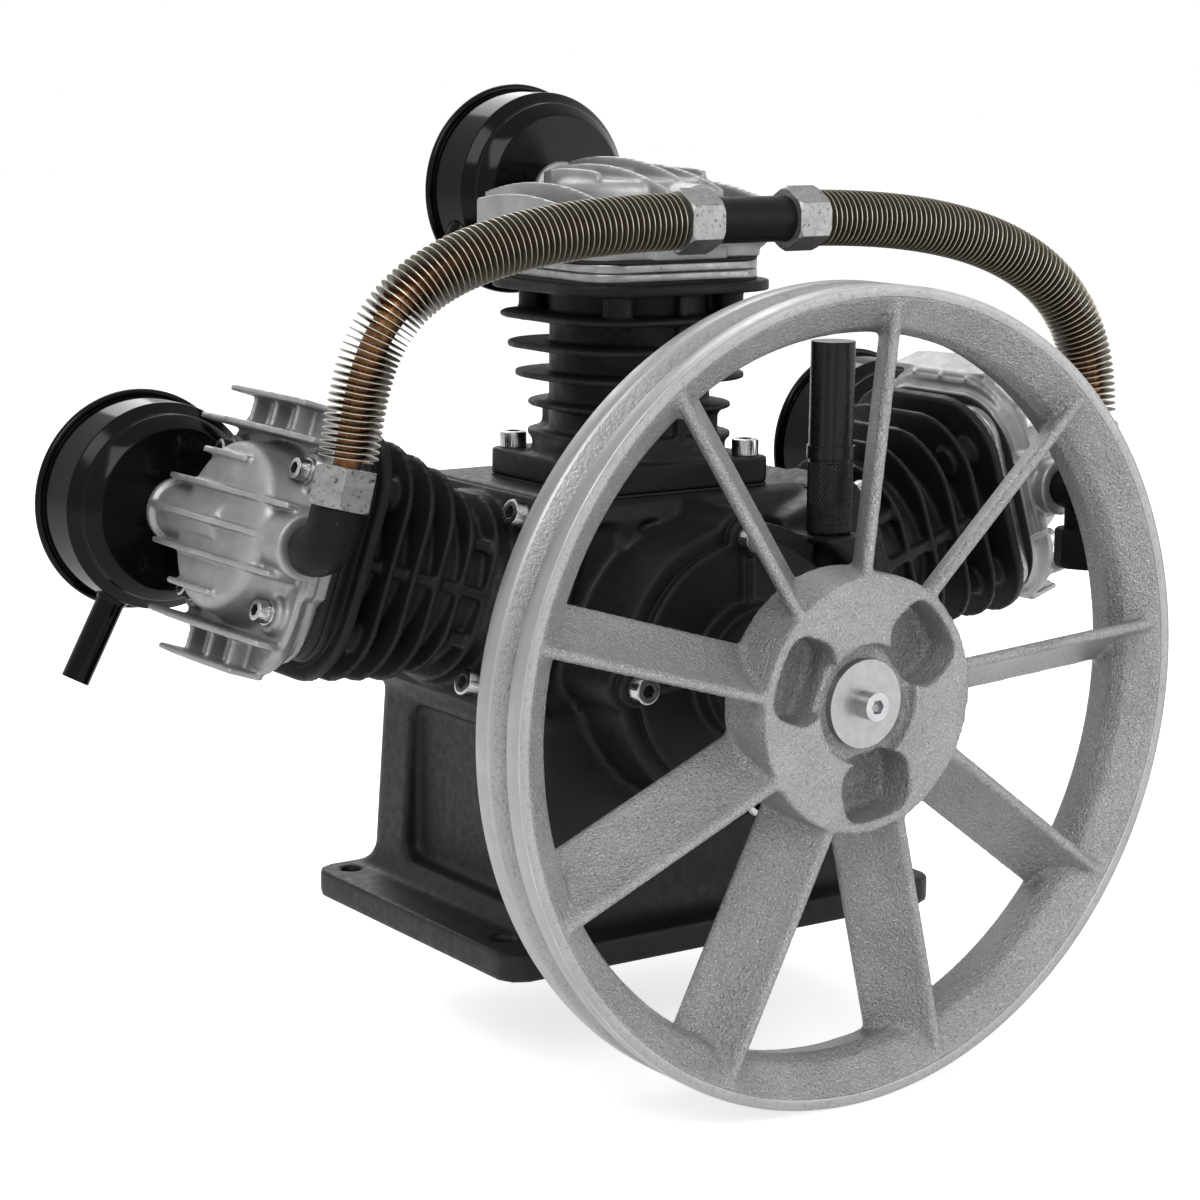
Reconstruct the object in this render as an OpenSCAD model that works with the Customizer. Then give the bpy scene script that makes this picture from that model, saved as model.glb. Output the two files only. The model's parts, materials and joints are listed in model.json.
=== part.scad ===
// Belt-driven air compressor pump head with three cylinders in a W.
// The origin is the centre of the four mounting holes, on the mounting face.
// X runs across the pump, Y along the crank axis towards the filters, Z up. The flywheel is at the front, -Y.
// Each cylinder is drawn in the frame of its bank: x across the bank, y along the crank, z out of the crank axis.

/* [Mounting foot] */
// Length of the foot across the pump
foot_length = 254; // [240:1:280]
// Reach of the foot ahead of the hole pattern's centre
foot_front = 99.5; // [90:0.5:110]
// Reach of the foot behind the hole pattern's centre
foot_rear = 83.5; // [82:0.5:100]
// Thickness of the foot
foot_thickness = 13; // [9:0.5:18]
// Corner radius of the foot
foot_corner = 12; // [4:0.5:16]
// Spacing of the mounting holes across the pump
hole_spacing_x = 224; // [218:1:232]
// Spacing of the mounting holes along the crank axis
hole_spacing_y = 140; // [130:1:146]
// Diameter of the mounting holes
hole_d = 10.5; // [8:0.5:12]

/* [Crankcase] */
// Height of the crank axis above the mounting face
crank_height = 133.5; // [130:0.5:145]
// Reach of the front wall ahead of the hole pattern's centre
case_front = 66; // [63:0.5:68]
// Reach of the rear wall behind the hole pattern's centre
case_rear = 77; // [75:0.5:79]
// Reach of the pedestal's front wall at the foot
pedestal_front = 80; // [70:0.5:84]
// Width of the pedestal at the foot
pedestal_width = 196; // [188:1:204]
// Width of the pedestal under the cylinder seats
neck_width = 184; // [176:1:188]
// Wall of the crankcase
case_wall = 8; // [6:0.5:10]
// Radius of the crankcase's rounded edges
case_corner = 9; // [5:0.5:12]
// Depth of the panel set into each side of the pedestal
panel_depth = 4; // [2:0.5:5]
// Diameter of the front bearing housing
housing_d = 138; // [132:1:140]
// Reach of the bearing housing's front face
housing_front = 101; // [96:0.5:104]
// Diameter of the opening that the crankshaft goes in by
case_opening_d = 92; // [90:0.5:94]

/* [Banks] */
// Lean of the side cylinders from upright, in degrees
bank_lean = 71.6; // [69:0.1:73]
// Place of the left cylinder along the crank axis
left_bank_y = -2.5; // [-4:0.5:0]
// Place of the centre cylinder along the crank axis
centre_bank_y = -7.5; // [-10:0.5:-5]
// Place of the right cylinder along the crank axis
right_bank_y = -36.5; // [-38:0.5:-34]
// Distance of the side cylinders' seats from the crank axis
side_seat = 88.5; // [86:0.5:90]
// Distance of the centre cylinder's seat from the crank axis
centre_seat = 77.5; // [76.5:0.5:79]

/* [Cylinders] */
// Bore of the cylinders
bore_d = 65; // [60:0.5:68]
// Stroke of the pistons
stroke = 46; // [40:1:48]
// Outer diameter of the barrel
barrel_d = 78; // [76:0.5:80]
// Height of a cylinder from its seat to its deck
cylinder_height = 98.5; // [96:0.5:104]
// Side of the square foot of a cylinder
cyl_foot_w = 100; // [98:0.5:102]
// Thickness of a cylinder's foot
cyl_foot_t = 14; // [11:0.5:15]
// Thickness of the gasket under a cylinder
cyl_gasket_t = 0.8; // [0.5:0.1:1.2]
// Spacing of the cylinder foot screws
cyl_screw_spacing = 81; // [80:0.5:82]
// Half-length of the top fin across the bank
fin_half_u = 59; // [57:0.5:61]
// Half-length of the top fin along the crank
fin_half_v = 54; // [53:0.5:55]
// Thickness of a fin
fin_t = 3; // [2:0.25:4]
// Pitch of the fins
fin_pitch = 14.3; // [13.8:0.1:14.5]
// Number of long fins below the deck plate
long_fins = 3; // [2:1:3]
// Number of short fins below the long ones
short_fins = 2; // [1:1:2]
// How much each long fin is shorter than the one above it
fin_step = 2.7; // [1:0.1:3.2]
// Half-length of the short fins
short_fin_half = 45; // [43:0.5:47]
// Thickness of the plate at the cylinder's deck
deck_plate_t = 5; // [4:0.5:7]

/* [Heads] */
// Half-length of the valve plates across the bank
plate_half_u = 55; // [53:0.5:57]
// Half-length of the valve plates along the crank
plate_half_v = 50; // [48:0.5:51]
// Thickness of a valve plate
plate_t = 4.5; // [3:0.25:6]
// Thickness of a head gasket
head_gasket_t = 1; // [0.5:0.1:1.5]
// Height of the tallest head fin above the deck
head_height = 57; // [54:0.5:60]
// Half-length of the head's skirt across the bank
skirt_half_u = 62; // [60:0.5:64]
// Half-length of the head's skirt along the crank
skirt_half_v = 51; // [50:0.5:53]
// Pitch of the head fins
head_fin_pitch = 15.4; // [15:0.1:15.6]
// Thickness of a head fin
head_fin_t = 2.8; // [2:0.1:3.6]
// Radius of the dome on the head
dome_r = 33; // [31:0.5:34]
// Height of the discharge port above the deck
port_height = 32; // [30:0.5:33]
// Reach of the discharge port's face ahead of the bore
port_reach = 58; // [56:0.5:60]
// Height of the intake neck above the deck
neck_height = 37.5; // [36:0.5:39]
// Reach of the left head's intake neck behind its bore
left_neck_reach = 58; // [56:0.5:62]
// Reach of the centre head's intake neck behind its bore
centre_neck_reach = 63; // [58:0.5:66]
// Reach of the right head's intake neck behind its bore
right_neck_reach = 78; // [70:0.5:84]
// Spacing of the head screws across the bank
head_screw_u = 65; // [64:0.5:66]
// Spacing of the head screws along the crank
head_screw_v = 72; // [71:0.5:73]

/* [Intake filters] */
// Radius of the filter drum
filter_r = 49; // [47:0.5:50]
// Radius of the rolled rim
filter_rim_r = 52.7; // [51.5:0.1:54]
// Depth from the filter's front face to its rim
filter_depth = 40; // [36:0.5:44]
// Outer diameter of the side inlet pipe
inlet_d = 13.5; // [12:0.5:15]
// Length of the side inlet pipe outside the drum
inlet_length = 42; // [30:1:50]
// Wall of the pressed steel filter parts
sheet_t = 1.2; // [0.8:0.1:1.6]

/* [Discharge tubes] */
// Outer diameter of the discharge tubes
tube_d = 12; // [11:0.5:13]
// Wall of the discharge tubes
tube_wall = 1; // [0.8:0.1:1.5]
// Outer diameter of the wound fins
tube_fin_d = 26; // [22:0.5:27]
// Thickness of a wound fin
tube_fin_t = 0.7; // [0.5:0.1:1]
// Number of wound fins on each tube
tube_fins = 74; // [40:1:80]
// Across flats of the tube nuts
tube_nut_af = 26; // [24:0.5:27]
// Length of a tube nut
tube_nut_l = 18; // [16:0.5:20]
// Diameter of the fitting bodies
fitting_d = 21; // [20:0.5:23]
// Length of the centre tee along its arms
tee_length = 43; // [40:0.5:46]
// Reach of the centre tee ahead of its port
tee_reach = 33; // [30:0.5:35]
// Reach of the side fittings ahead of their ports
side_reach = 16.5; // [15:0.5:19]
// Diameter of the discharge outlet's bore
outlet_d = 18.6; // [14:0.1:19]
// Across flats of the discharge outlet
outlet_af = 27; // [26:0.5:29]

/* [Breather] */
// Diameter of the breather's knurled base
breather_d = 21.5; // [19:0.5:23]
// Height of the knurled base
breather_base_h = 36; // [30:0.5:40]
// Diameter of the breather tube
breather_tube_d = 21; // [18:0.5:21]
// Height of the breather above its boss
breather_h = 91; // [80:0.5:100]

/* [Flywheel] */
// Outer diameter of the flywheel
wheel_d = 370; // [360:1:376]
// Width of the rim
rim_w = 33; // [31:0.5:36]
// Distance of the rim's front face ahead of the hole pattern's centre
wheel_front = 194.5; // [193:0.5:197]
// Width of the V groove at the rim
groove_w = 14; // [12:0.5:17]
// Depth of the V groove
groove_depth = 12; // [9:0.5:13]
// Radius inside the rim
rim_inner_r = 163; // [161:0.5:165]
// Number of spokes
spokes = 9; // [5:1:9]
// Pitch angle of the fan-like spokes
spoke_pitch = 35; // [25:1:40]
// Thickness of a spoke
spoke_t = 5.5; // [4:0.25:7]
// Rise of a spoke's arched section
spoke_arch = 2; // [1:0.25:3]
// Diameter of the hub
hub_d = 117; // [114:0.5:122]
// Diameter of the boss behind the hub
hub_boss_d = 86; // [70:1:90]
// Reach of the hub's boss behind the rim's front face
hub_boss_back = 50; // [46:0.5:51]
// Diameter of the washer
washer_d = 40; // [36:0.5:44]

/* [Crankshaft and running gear] */
// Diameter of the shaft nose in the flywheel
nose_d = 30; // [26:0.5:32]
// Diameter of the shaft at the seal
seal_shaft_d = 38; // [36:0.5:39]
// Diameter of the shaft in the front bearing
journal_d = 40; // [40:0.5:42]
// Outer diameter of the front bearing
front_bearing_d = 80; // [78:0.5:84]
// Width of the front bearing
front_bearing_w = 18; // [16:0.5:19]
// Bore of the rear bearing
rear_journal_d = 30; // [28:0.5:32]
// Outer diameter of the rear bearing
rear_bearing_d = 62; // [60:0.5:66]
// Width of the rear bearing
rear_bearing_w = 16; // [14:0.5:17]
// Diameter of the crank pin
crank_pin_d = 32; // [28:0.5:34]
// Diameter of the gudgeon pins
gudgeon_d = 16; // [14:0.5:18]
// Width of a connecting rod's big end
big_end_w = 14; // [12:0.5:14]
// Thickness of a crank web
web_t = 12; // [10:0.5:12]

/* [Clearances] */
// Radial clearance of running fits
run_gap = 0.05; // [0.02:0.01:0.1]
// Radial clearance round screws and set parts
set_gap = 0.1; // [0.05:0.05:0.3]
// Clearance between moving and fixed faces
face_gap = 0.3; // [0.2:0.05:0.5]

/* [Hidden] */

$fn = 64;
// Overrun of every cut past the face that it opens
cut = 1;
// Small overlap that makes unions solid
bite = 0.4;

// Bank tables: left, centre, right
LEFT = 0;
CENTRE = 1;
RIGHT = 2;
bank_turn = [-bank_lean, 0, bank_lean];
bank_y = [left_bank_y, centre_bank_y, right_bank_y];
seat = [side_seat, centre_seat, side_seat];
deck = [for (s = seat) s + cylinder_height];
neck_reach = [left_neck_reach, centre_neck_reach, right_neck_reach];
side_cos = sin(bank_lean);
side_sin = cos(bank_lean);

// Metric socket screws: shank, head, head height and key
m8 = [8, 13, 8, 6];
m6 = [6, 10, 6, 5];
m8_grip = 18;
m6_grip = 12;

// Crankcase places
seat_half = cyl_foot_w / 2;
neck_clear = 10;
neck_drop = max(3 * neck_clear, (neck_width / 2 * side_cos - side_seat) / side_sin + neck_clear);
neck_z = crank_height - neck_drop;
panel_y = [-57, 44];
panel_rise = 22;
panel_drop = 33;
panel_z = [panel_rise, crank_height - panel_drop];
pocket_rim = 10;
pocket_x = [[-90, -44], [-36, 28]];
pocket_top = 67.5;
pocket_bottom = -20;
front_pocket_depth = 4;
flare = 9;
flare_shares = [0.62, 0.22, 0];
flare_height_shares = [0, 0.35, 1];
edge_share = 0.3;
boss_x = 49;
boss_y = -103;
boss_half = 16.5;
boss_rise = 60;
boss_top = crank_height + boss_rise;
boss_drop = 26;
boss_corner = 5;
breather_hole_d = 14;
collar_l = 6;
collar_step = 0.85;
vent_d = 1.8;
vent_height_share = 0.78;
sump_floor = 19;
seat_block_depth = 34;
bore_clear = 1;
rear_boss_d = 92;
rear_boss_l = 24;
rear_lip = 4;

// Bearing covers
cover_gasket_t = 0.8;
cover_d = 122;
cover_t = 4.5;
cover_ear_r = 9.5;
housing_ear_r = 13;
cover_screw_r = 62.5;
cover_screw_phase = 1.5;
cover_screws = 4;
cover_nose_d = 64;
cover_nose_l = 11.5;
cover_rib_t = 4;
spigot_end = 59.5;
seal_d = 56;
seal_w = 8;
rear_cover_d = 86;
rear_cover_t = 7;
rear_screw_r = 37;
rear_screws = 4;
rear_screw_phase = 45;

// Front bearing, measured along Y, and its races
front_bearing_y = -62;
race_t = 5.5;
ball_d = 12;
balls = 9;
ball_gap = 0.15;
cage_t = 2.4;
cage_w = 7;

// Crankshaft places, measured along Y
rod_offset = [4, -5.5, 3.5];
rod_y = [for (i = [LEFT:RIGHT]) bank_y[i] + rod_offset[i]];
throw_clear = 2;
front_web_y = rod_y[RIGHT] - big_end_w / 2 - throw_clear;
rear_web_y = rod_y[LEFT] + big_end_w / 2 + throw_clear;
throw_front_y = front_web_y - web_t;
collar_d = 50;
rear_collar_d = 38;
rear_bearing_y = 56;
counterweight_r = 44;
counterweight_w = 76;
web_w = 56;
crank_r = stroke / 2;

// Pistons and rods
piston_gap = 0.15;
piston_r = bore_d / 2 - piston_gap;
piston_len = 48;
crown_t = 6;
crown_clear = 0.8;
pin_drop = 25;
skirt_t = 4;
pin_boss_t = 5;
ring_w = 2;
ring_depth = 2.4;
ring_pitch = 4.6;
rings = 3;
small_end_wall = 5;
small_end_w = 16;
big_end_wall = 7;
rod_web_t = 8;
rod_waist = 20;
rod_neck_share = 1.6;
rod_length = [for (s = deck) s - crown_clear - pin_drop - crank_r];
// The crank pin points straight up, so each gudgeon pin stands here along its bank
pin_s = [for (i = [LEFT:RIGHT]) crank_r * cos(bank_turn[i])
    + sqrt(pow(rod_length[i], 2) - pow(crank_r * sin(bank_turn[i]), 2))];

// Cylinder details
fin_corner = 32;
foot_corner_r = 7;
rib_t = 5;
rib_set_in = 1.5;
lug_r = 7;
lug_h = 22;
flare_r = 47;
flare_h = 6.5;
pocket_rib_u = 22;
pocket_rib_v = 40;

// Head details, heights above the deck
plate_corner = 30;
plate_z = [head_gasket_t, head_gasket_t + plate_t, head_gasket_t + 2 * plate_t];
head_z = plate_z[2] + head_gasket_t;
head_flange_t = 4.5;
skirt_z = head_z + head_flange_t;
skirt_h = 9;
skirt_edge = 4;
skirt_corner = 34;
body_half_u = 49;
body_half_v = 43;
head_body_top = 29;
dome_top = 44;
dome_taper = 4;
dome_v = -5;
port_r = 14.6;
passage_lap = 3;
port_bore_d = 12;
neck_r = 13;
neck_ring_r = 15.5;
neck_ring_w = 4;
neck_bore_d = 18;
chamber_r = 24;
chamber_top = 35;
chamber_rib = 5;
head_boss_r = 9;
web_pitch = 20;
cross_web_t = 2.4;
cross_web_top = 34;
washer6_r = 6.2;
washer6_t = 1.5;
valve_hole_r = 5;
valve_hole_u = 12;
reed_t = 0.5;
reed_w = 12;
reed_l = 44;
reed_corner = 4;
reed_lift = 0.1;
plate_gap = 0.05;
gasket_set_in = 0.75;

// Head fins by distance from the middle: height, ends and apex of each profile, as shares
head_fin_height_shares = [1, 0.945, 0.915, 0.8, 0.71];
head_fin_front_shares = [-1.08, -1.02, -0.34, -0.92, -0.6];
head_fin_rear_shares = [1.04, 1.02, 0.45, 1.1, 0.78];
head_fin_apex_shares = [0.3, 0.16, 0.06, 0.16, 0.08];
head_fin_arc_r = 185;
head_fin_overhang = 16;

// Filters
filter_face_r = 40;
filter_step_r = 44;
filter_face_round = 2;
filter_step_z = [6, 9, 13];
spigot_l = 12;
rim_wire_r = 2;
cover_dish = 5;
cover_dish_r = 38;
element_r = 46;
element_bore_r = 22;
pipe_turn = [28, 42, -28];
pipe_side = [0, -18, 0];
pipe_z = 22;

// Fittings
fitting_bore_d = 9;
nipple_d = 17;
nipple_grip = 9;
stub_gap = 4.5;
elbow_lean = 14;
elbow_d = 23.5;
elbow_bend_r = 12.5;
elbow_reach = 19;
elbow_arm_l = 20;
arm_l = 17.5;
nut_chamfer_share = 0.94;
nut_grip = 6;
outlet_l = 19;
outlet_neck = 19;
outlet_bore_l = 15;

// Tube routes: handles as shares of the reach and of the drop
handle_shares = [[1.073, 0.533], [1.061, 0.362]];
nut_bore_gap = 0.5;
tube_sides = 12;
tube_steps = 32;
route_steps = 160;
fin_margin = 2.6;

// Oil sight glass and drain plug in the rear wall
sight_x = -34;
sight_z = 52;
sight_d = 20;
sight_flange_d = 30;
sight_flange_t = 5;
drain_x = 38;
drain_z = 34;
drain_d = 12;
drain_af = 17;
drain_head_t = 7;

// Flywheel places
spoke_phase = 3.5;
hub_drum = 30;
hub_recess_r = 27;
hub_recess_depth = 6.5;
pocket_centre_r = 39;
pocket_half_r = 14.5;
pocket_half_w = 19;
pocket_corner = 11;
pocket_depth = 20;
pockets = 3;
pocket_phase = 38.5;
pocket_wall = 5;
washer_t = 4;
wheel_grip = 25;
nose_short = 1.5;
key_w = 8;
key_h = 7;
key_l = 32;
key_sink = 4;
key_front = 10;
front_land = 5;
rim_slant_r = 166;
rim_slant_depth = 10;
rim_ridge_y = 17.5;
groove_floor_w = 5;
spoke_rim_r = 169;

function polar(r, a) = [r * cos(a), r * sin(a)];

// Puts children in the frame of one bank
module bank(i) {
    translate([0, bank_y[i], crank_height]) rotate([0, bank_turn[i], 0]) children();
}

module crank_axis() {
    translate([0, 0, crank_height]) children();
}

// Disc about the Y axis between two places along it
module disc_y(r, y0, y1) {
    translate([0, y0, 0]) rotate([-90, 0, 0]) cylinder(r = r, h = y1 - y0);
}

module ring_y(r, bore, y0, y1) {
    difference() {
        disc_y(r, y0, y1);
        disc_y(bore, y0 - cut, y1 + cut);
    }
}

// Revolved profile whose second coordinate runs along Y
module revolve_y() {
    rotate([-90, 0, 0]) rotate_extrude() children();
}

// Rounded rectangle with half sides a and b
module rounded(a, b, r) {
    square([2 * (a - r), 2 * b], center = true);
    square([2 * a, 2 * (b - r)], center = true);
    for (x = [-1, 1], y = [-1, 1]) translate([x * (a - r), y * (b - r)]) circle(r);
}

module plate(a, b, r, z0, z1) {
    translate([0, 0, z0]) linear_extrude(z1 - z0) rounded(a, b, r);
}

module hexagon(af, h) {
    cylinder(d = af / cos(30), h = h, $fn = 6);
}

// Hexagonal bar with chamfered ends
module hex_nut(af, h, bore) {
    r = af / cos(30) / 2;
    rim = (r - af / 2 * nut_chamfer_share) / 2;
    difference() {
        intersection() {
            hexagon(af, h);
            rotate_extrude() polygon([[0, 0], [r - rim, 0], [r, rim], [r, h - rim], [r - rim, h], [0, h]]);
        }
        translate([0, 0, -cut]) cylinder(d = bore, h = h + 2 * cut);
    }
}

// Socket screw whose head stands on z = 0, with its shank below
module socket_screw(size, length) {
    difference() {
        union() {
            cylinder(d = size[1], h = size[2]);
            translate([0, 0, -length]) cylinder(d = size[0], h = length + bite);
        }
        translate([0, 0, size[2] / 2]) hexagon(size[3], size[2]);
    }
}

// The four corners of a screw pattern
module corners(a, b) {
    for (x = [-1, 1], y = [-1, 1]) translate([x * a / 2, y * b / 2, 0]) children();
}

// Places on a circle about the crank axis, with z pointing out of the front
module crank_circle(r, phase, n) {
    for (k = [0:n - 1]) {
        p = polar(r, phase + k * 360 / n);
        translate([p[0], 0, crank_height + p[1]]) children();
    }
}

// Half outline of the crankcase above its pedestal, inset by w
function seat_point(s, u) = [s * side_cos + u * side_sin, s * side_sin - u * side_cos];
function seat_plane_x(s, z) = (s - z * side_sin) / side_cos;
function case_half(w) = [
    [0, centre_seat - w],
    [seat_plane_x(side_seat - w, centre_seat - w), centre_seat - w],
    seat_point(side_seat - w, seat_half - w),
    [neck_width / 2 - w, -neck_drop],
    [0, -neck_drop]];

module case_outline(w) {
    half = case_half(w);
    last = len(half) - 2;
    polygon(concat(half, [for (i = [last:-1:1]) [-half[i][0], half[i][1]]]));
}

// The outline of the crankcase as a block between two places along Y
module case_block(w, front, rear) {
    crank_axis() translate([0, rear, 0]) rotate([90, 0, 0]) linear_extrude(rear + front) case_outline(w);
}

module upper_case() {
    near = case_corner * edge_share;
    hull() {
        case_block(0, case_front - case_corner, case_rear - case_corner);
        case_block(near, case_front - near, case_rear - near);
        case_block(case_corner, case_front, case_rear);
    }
}

// Level section of the pedestal at height z, grown by g
function pedestal_share(z) = (z - foot_thickness) / (neck_z - foot_thickness);
function pedestal_half(z) = (pedestal_width + (neck_width - pedestal_width) * pedestal_share(z)) / 2;
function pedestal_reach(z) = pedestal_front + (case_front - pedestal_front) * pedestal_share(z);

module pedestal_level(z, g = 0) {
    translate([0, (case_rear - pedestal_reach(z)) / 2, z]) linear_extrude(bite)
        rounded(pedestal_half(z) + g, (case_rear + pedestal_reach(z)) / 2 + g, case_corner, $fn = 24);
}

module pedestal() {
    hull() {
        pedestal_level(foot_thickness - bite);
        pedestal_level(neck_z);
    }
    for (k = [0:1]) hull() {
        pedestal_level(foot_thickness + flare * flare_height_shares[k] - bite, flare * flare_shares[k]);
        pedestal_level(foot_thickness + flare * flare_height_shares[k + 1], flare * flare_shares[k + 1]);
    }
}

module foot() {
    translate([0, (foot_rear - foot_front) / 2, 0]) linear_extrude(foot_thickness)
        rounded(foot_length / 2, (foot_rear + foot_front) / 2, foot_corner);
}

module side_panels() {
    for (s = [0, 1]) mirror([s, 0, 0])
        translate([neck_width / 2 - panel_depth, (panel_y[0] + panel_y[1]) / 2, (panel_z[0] + panel_z[1]) / 2])
            rotate([90, 0, 90]) linear_extrude(pedestal_width)
                rounded((panel_y[1] - panel_y[0]) / 2, (panel_z[1] - panel_z[0]) / 2, case_corner);
}

// Pockets in the front wall, on both sides of an upright rib
module front_pockets() {
    crank_axis() translate([0, front_pocket_depth - case_front, 0]) rotate([90, 0, 0])
        linear_extrude(front_pocket_depth + cut) intersection() {
            case_outline(pocket_rim);
            for (x = pocket_x) translate([(x[0] + x[1]) / 2, (pocket_top + pocket_bottom) / 2])
                rounded((x[1] - x[0]) / 2, (pocket_top - pocket_bottom) / 2, case_corner);
        }
}

// The part of the case that carries the foot of the right cylinder, ahead of the front wall
module right_seat_block() {
    bank(RIGHT) plate(seat_half, seat_half, foot_corner_r, side_seat - seat_block_depth, side_seat);
}

// Radius about the crank axis that the bearing housing and its cover need
function housing_room() = max(housing_d / 2, cover_d / 2 + bore_clear);

module breather_boss() {
    reach = -case_front - boss_y + boss_half;
    difference() {
        translate([boss_x, boss_y - boss_half + reach / 2, boss_top - boss_drop]) linear_extrude(boss_drop)
            rounded(boss_half, reach / 2, boss_corner);
        crank_axis() disc_y(housing_room() - bite, boss_y - boss_half - cut, -case_front + cut);
    }
}

module crankcase_hollow() {
    case_block(case_wall, case_front - case_wall, case_rear - case_wall);
    translate([0, (case_rear - case_front) / 2, sump_floor]) linear_extrude(neck_z + bite - sump_floor)
        rounded(neck_width / 2 - case_wall - panel_depth, (case_rear + case_front) / 2 - case_wall, case_corner);
}

module cylinder_seat_cuts(i) {
    bank(i) {
        translate([0, 0, seat[i] - seat_block_depth - cut])
            cylinder(d = bore_d + 2 * bore_clear, h = seat_block_depth + 2 * cut);
        corners(cyl_screw_spacing, cyl_screw_spacing)
            translate([0, 0, seat[i] - m8_grip]) cylinder(r = m8[0] / 2 + set_gap, h = m8_grip + cut);
    }
}

module crankcase_cuts() {
    for (i = [LEFT:RIGHT]) cylinder_seat_cuts(i);
    crank_axis() {
        disc_y(case_opening_d / 2, -housing_front - cut, -case_front + case_wall + cut);
        disc_y(rear_bearing_d / 2, rear_bearing_y, case_rear + cut);
        disc_y(rear_bearing_d / 2 - rear_lip, case_rear - rear_boss_l - cut, rear_bearing_y + cut);
    }
    crank_circle(cover_screw_r, cover_screw_phase, cover_screws)
        disc_y(m8[0] / 2 + set_gap, -housing_front - cut, -housing_front + m8_grip);
    crank_circle(rear_screw_r, rear_screw_phase, rear_screws)
        disc_y(m6[0] / 2 + set_gap, case_rear - m6_grip, case_rear + cut);
    corners(hole_spacing_x, hole_spacing_y)
        translate([0, 0, -cut]) cylinder(d = hole_d, h = foot_thickness + 2 * cut);
    translate([boss_x, boss_y, boss_top - boss_drop - cut])
        cylinder(d = breather_hole_d, h = boss_drop + 2 * cut);
    translate([sight_x, 0, sight_z]) disc_y(sight_d / 2, case_rear - 2 * case_wall, case_rear + cut);
    translate([drain_x, 0, drain_z]) disc_y(drain_d / 2, case_rear - 2 * case_wall, case_rear + cut);
}

module crankcase() {
    color("#232426") difference() {
        union() {
            foot();
            difference() {
                union() {
                    upper_case();
                    pedestal();
                }
                side_panels();
                front_pockets();
                crankcase_hollow();
            }
            difference() {
                intersection() {
                    right_seat_block();
                    translate([0, -housing_front - case_corner, 0])
                        cube([foot_length, housing_front + case_corner - case_front + case_wall, 2 * crank_height]);
                }
                crank_axis() disc_y(housing_room(), -housing_front - case_corner - cut, -housing_front);
            }
            breather_boss();
            crank_axis() disc_y(housing_d / 2, -housing_front, -case_front + case_wall);
            crank_circle(cover_screw_r, cover_screw_phase, cover_screws)
                disc_y(housing_ear_r, -housing_front, -case_front + case_wall);
            crank_axis() disc_y(rear_boss_d / 2, case_rear - rear_boss_l, case_rear);
        }
        crankcase_cuts();
    }
}

// Bearing covers
module cover_outline(y0, y1) {
    crank_axis() disc_y(cover_d / 2, y0, y1);
    crank_circle(cover_screw_r, cover_screw_phase, cover_screws) disc_y(cover_ear_r, y0, y1);
}

module cover_screw_holes(y0, y1) {
    crank_circle(cover_screw_r, cover_screw_phase, cover_screws)
        disc_y(m8[0] / 2 + set_gap, y0 - cut, y1 + cut);
}

function cover_back() = -housing_front - cover_gasket_t;
function cover_face() = cover_back() - cover_t;
function nose_face() = cover_face() - cover_nose_l;
function bearing_front() = front_bearing_y - front_bearing_w;

module cover_ribs() {
    for (k = [0:cover_screws - 1]) crank_axis()
        rotate([0, -cover_screw_phase - k * 360 / cover_screws, 0])
            translate([cover_nose_d / 2 - cover_rib_t, cover_face() - cover_rib_t, -cover_rib_t / 2])
                cube([cover_screw_r - m8[1] / 2 - cover_nose_d / 2 + cover_rib_t / 2, cover_rib_t + bite, cover_rib_t]);
}

module front_cover() {
    color("#26272a") difference() {
        union() {
            cover_outline(cover_face(), cover_back());
            cover_ribs();
            crank_axis() disc_y(cover_nose_d / 2, nose_face(), cover_face() + bite);
            crank_axis() disc_y(case_opening_d / 2 - set_gap, cover_back() - bite, -spigot_end);
        }
        cover_screw_holes(cover_face(), cover_back());
        crank_axis() {
            disc_y(front_bearing_d / 2, bearing_front(), -spigot_end + cut);
            disc_y(front_bearing_d / 2 - race_t, bearing_front() - throw_clear, bearing_front() + cut);
            disc_y(seal_shaft_d / 2 + bore_clear, nose_face() - cut, bearing_front() + cut);
            disc_y(seal_d / 2, nose_face() - cut, nose_face() + seal_w);
        }
    }
}

module front_cover_gasket() {
    color("#6b5b45") difference() {
        cover_outline(cover_back(), -housing_front);
        crank_axis() disc_y(case_opening_d / 2, cover_back() - cut, -housing_front + cut);
        cover_screw_holes(cover_back(), -housing_front);
    }
}

module front_cover_screws() {
    color("#b9bcc0") crank_circle(cover_screw_r, cover_screw_phase, cover_screws)
        translate([0, cover_face(), 0]) rotate([90, 0, 0])
            socket_screw(m8, cover_t + cover_gasket_t + m8_grip - bore_clear);
}

module rear_cover_plate(y0, t) {
    difference() {
        crank_axis() disc_y(rear_cover_d / 2, y0, y0 + t);
        crank_circle(rear_screw_r, rear_screw_phase, rear_screws) disc_y(m6[0] / 2 + set_gap, y0 - cut, y0 + t + cut);
    }
}

module rear_cover() {
    color("#26272a") rear_cover_plate(case_rear + cover_gasket_t, rear_cover_t);
}

module rear_cover_gasket() {
    color("#6b5b45") difference() {
        rear_cover_plate(case_rear, cover_gasket_t);
        crank_axis() disc_y(rear_bearing_d / 2, case_rear - cut, case_rear + cover_gasket_t + cut);
    }
}

module rear_cover_screws() {
    color("#b9bcc0") crank_circle(rear_screw_r, rear_screw_phase, rear_screws)
        translate([0, case_rear + cover_gasket_t + rear_cover_t, 0]) rotate([-90, 0, 0])
            socket_screw(m6, rear_cover_t + cover_gasket_t + m6_grip - bore_clear);
}

module shaft_seal() {
    color("#2c2a28") crank_axis()
        ring_y(seal_d / 2, seal_shaft_d / 2 + run_gap, nose_face() + face_gap, nose_face() + seal_w);
}

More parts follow.
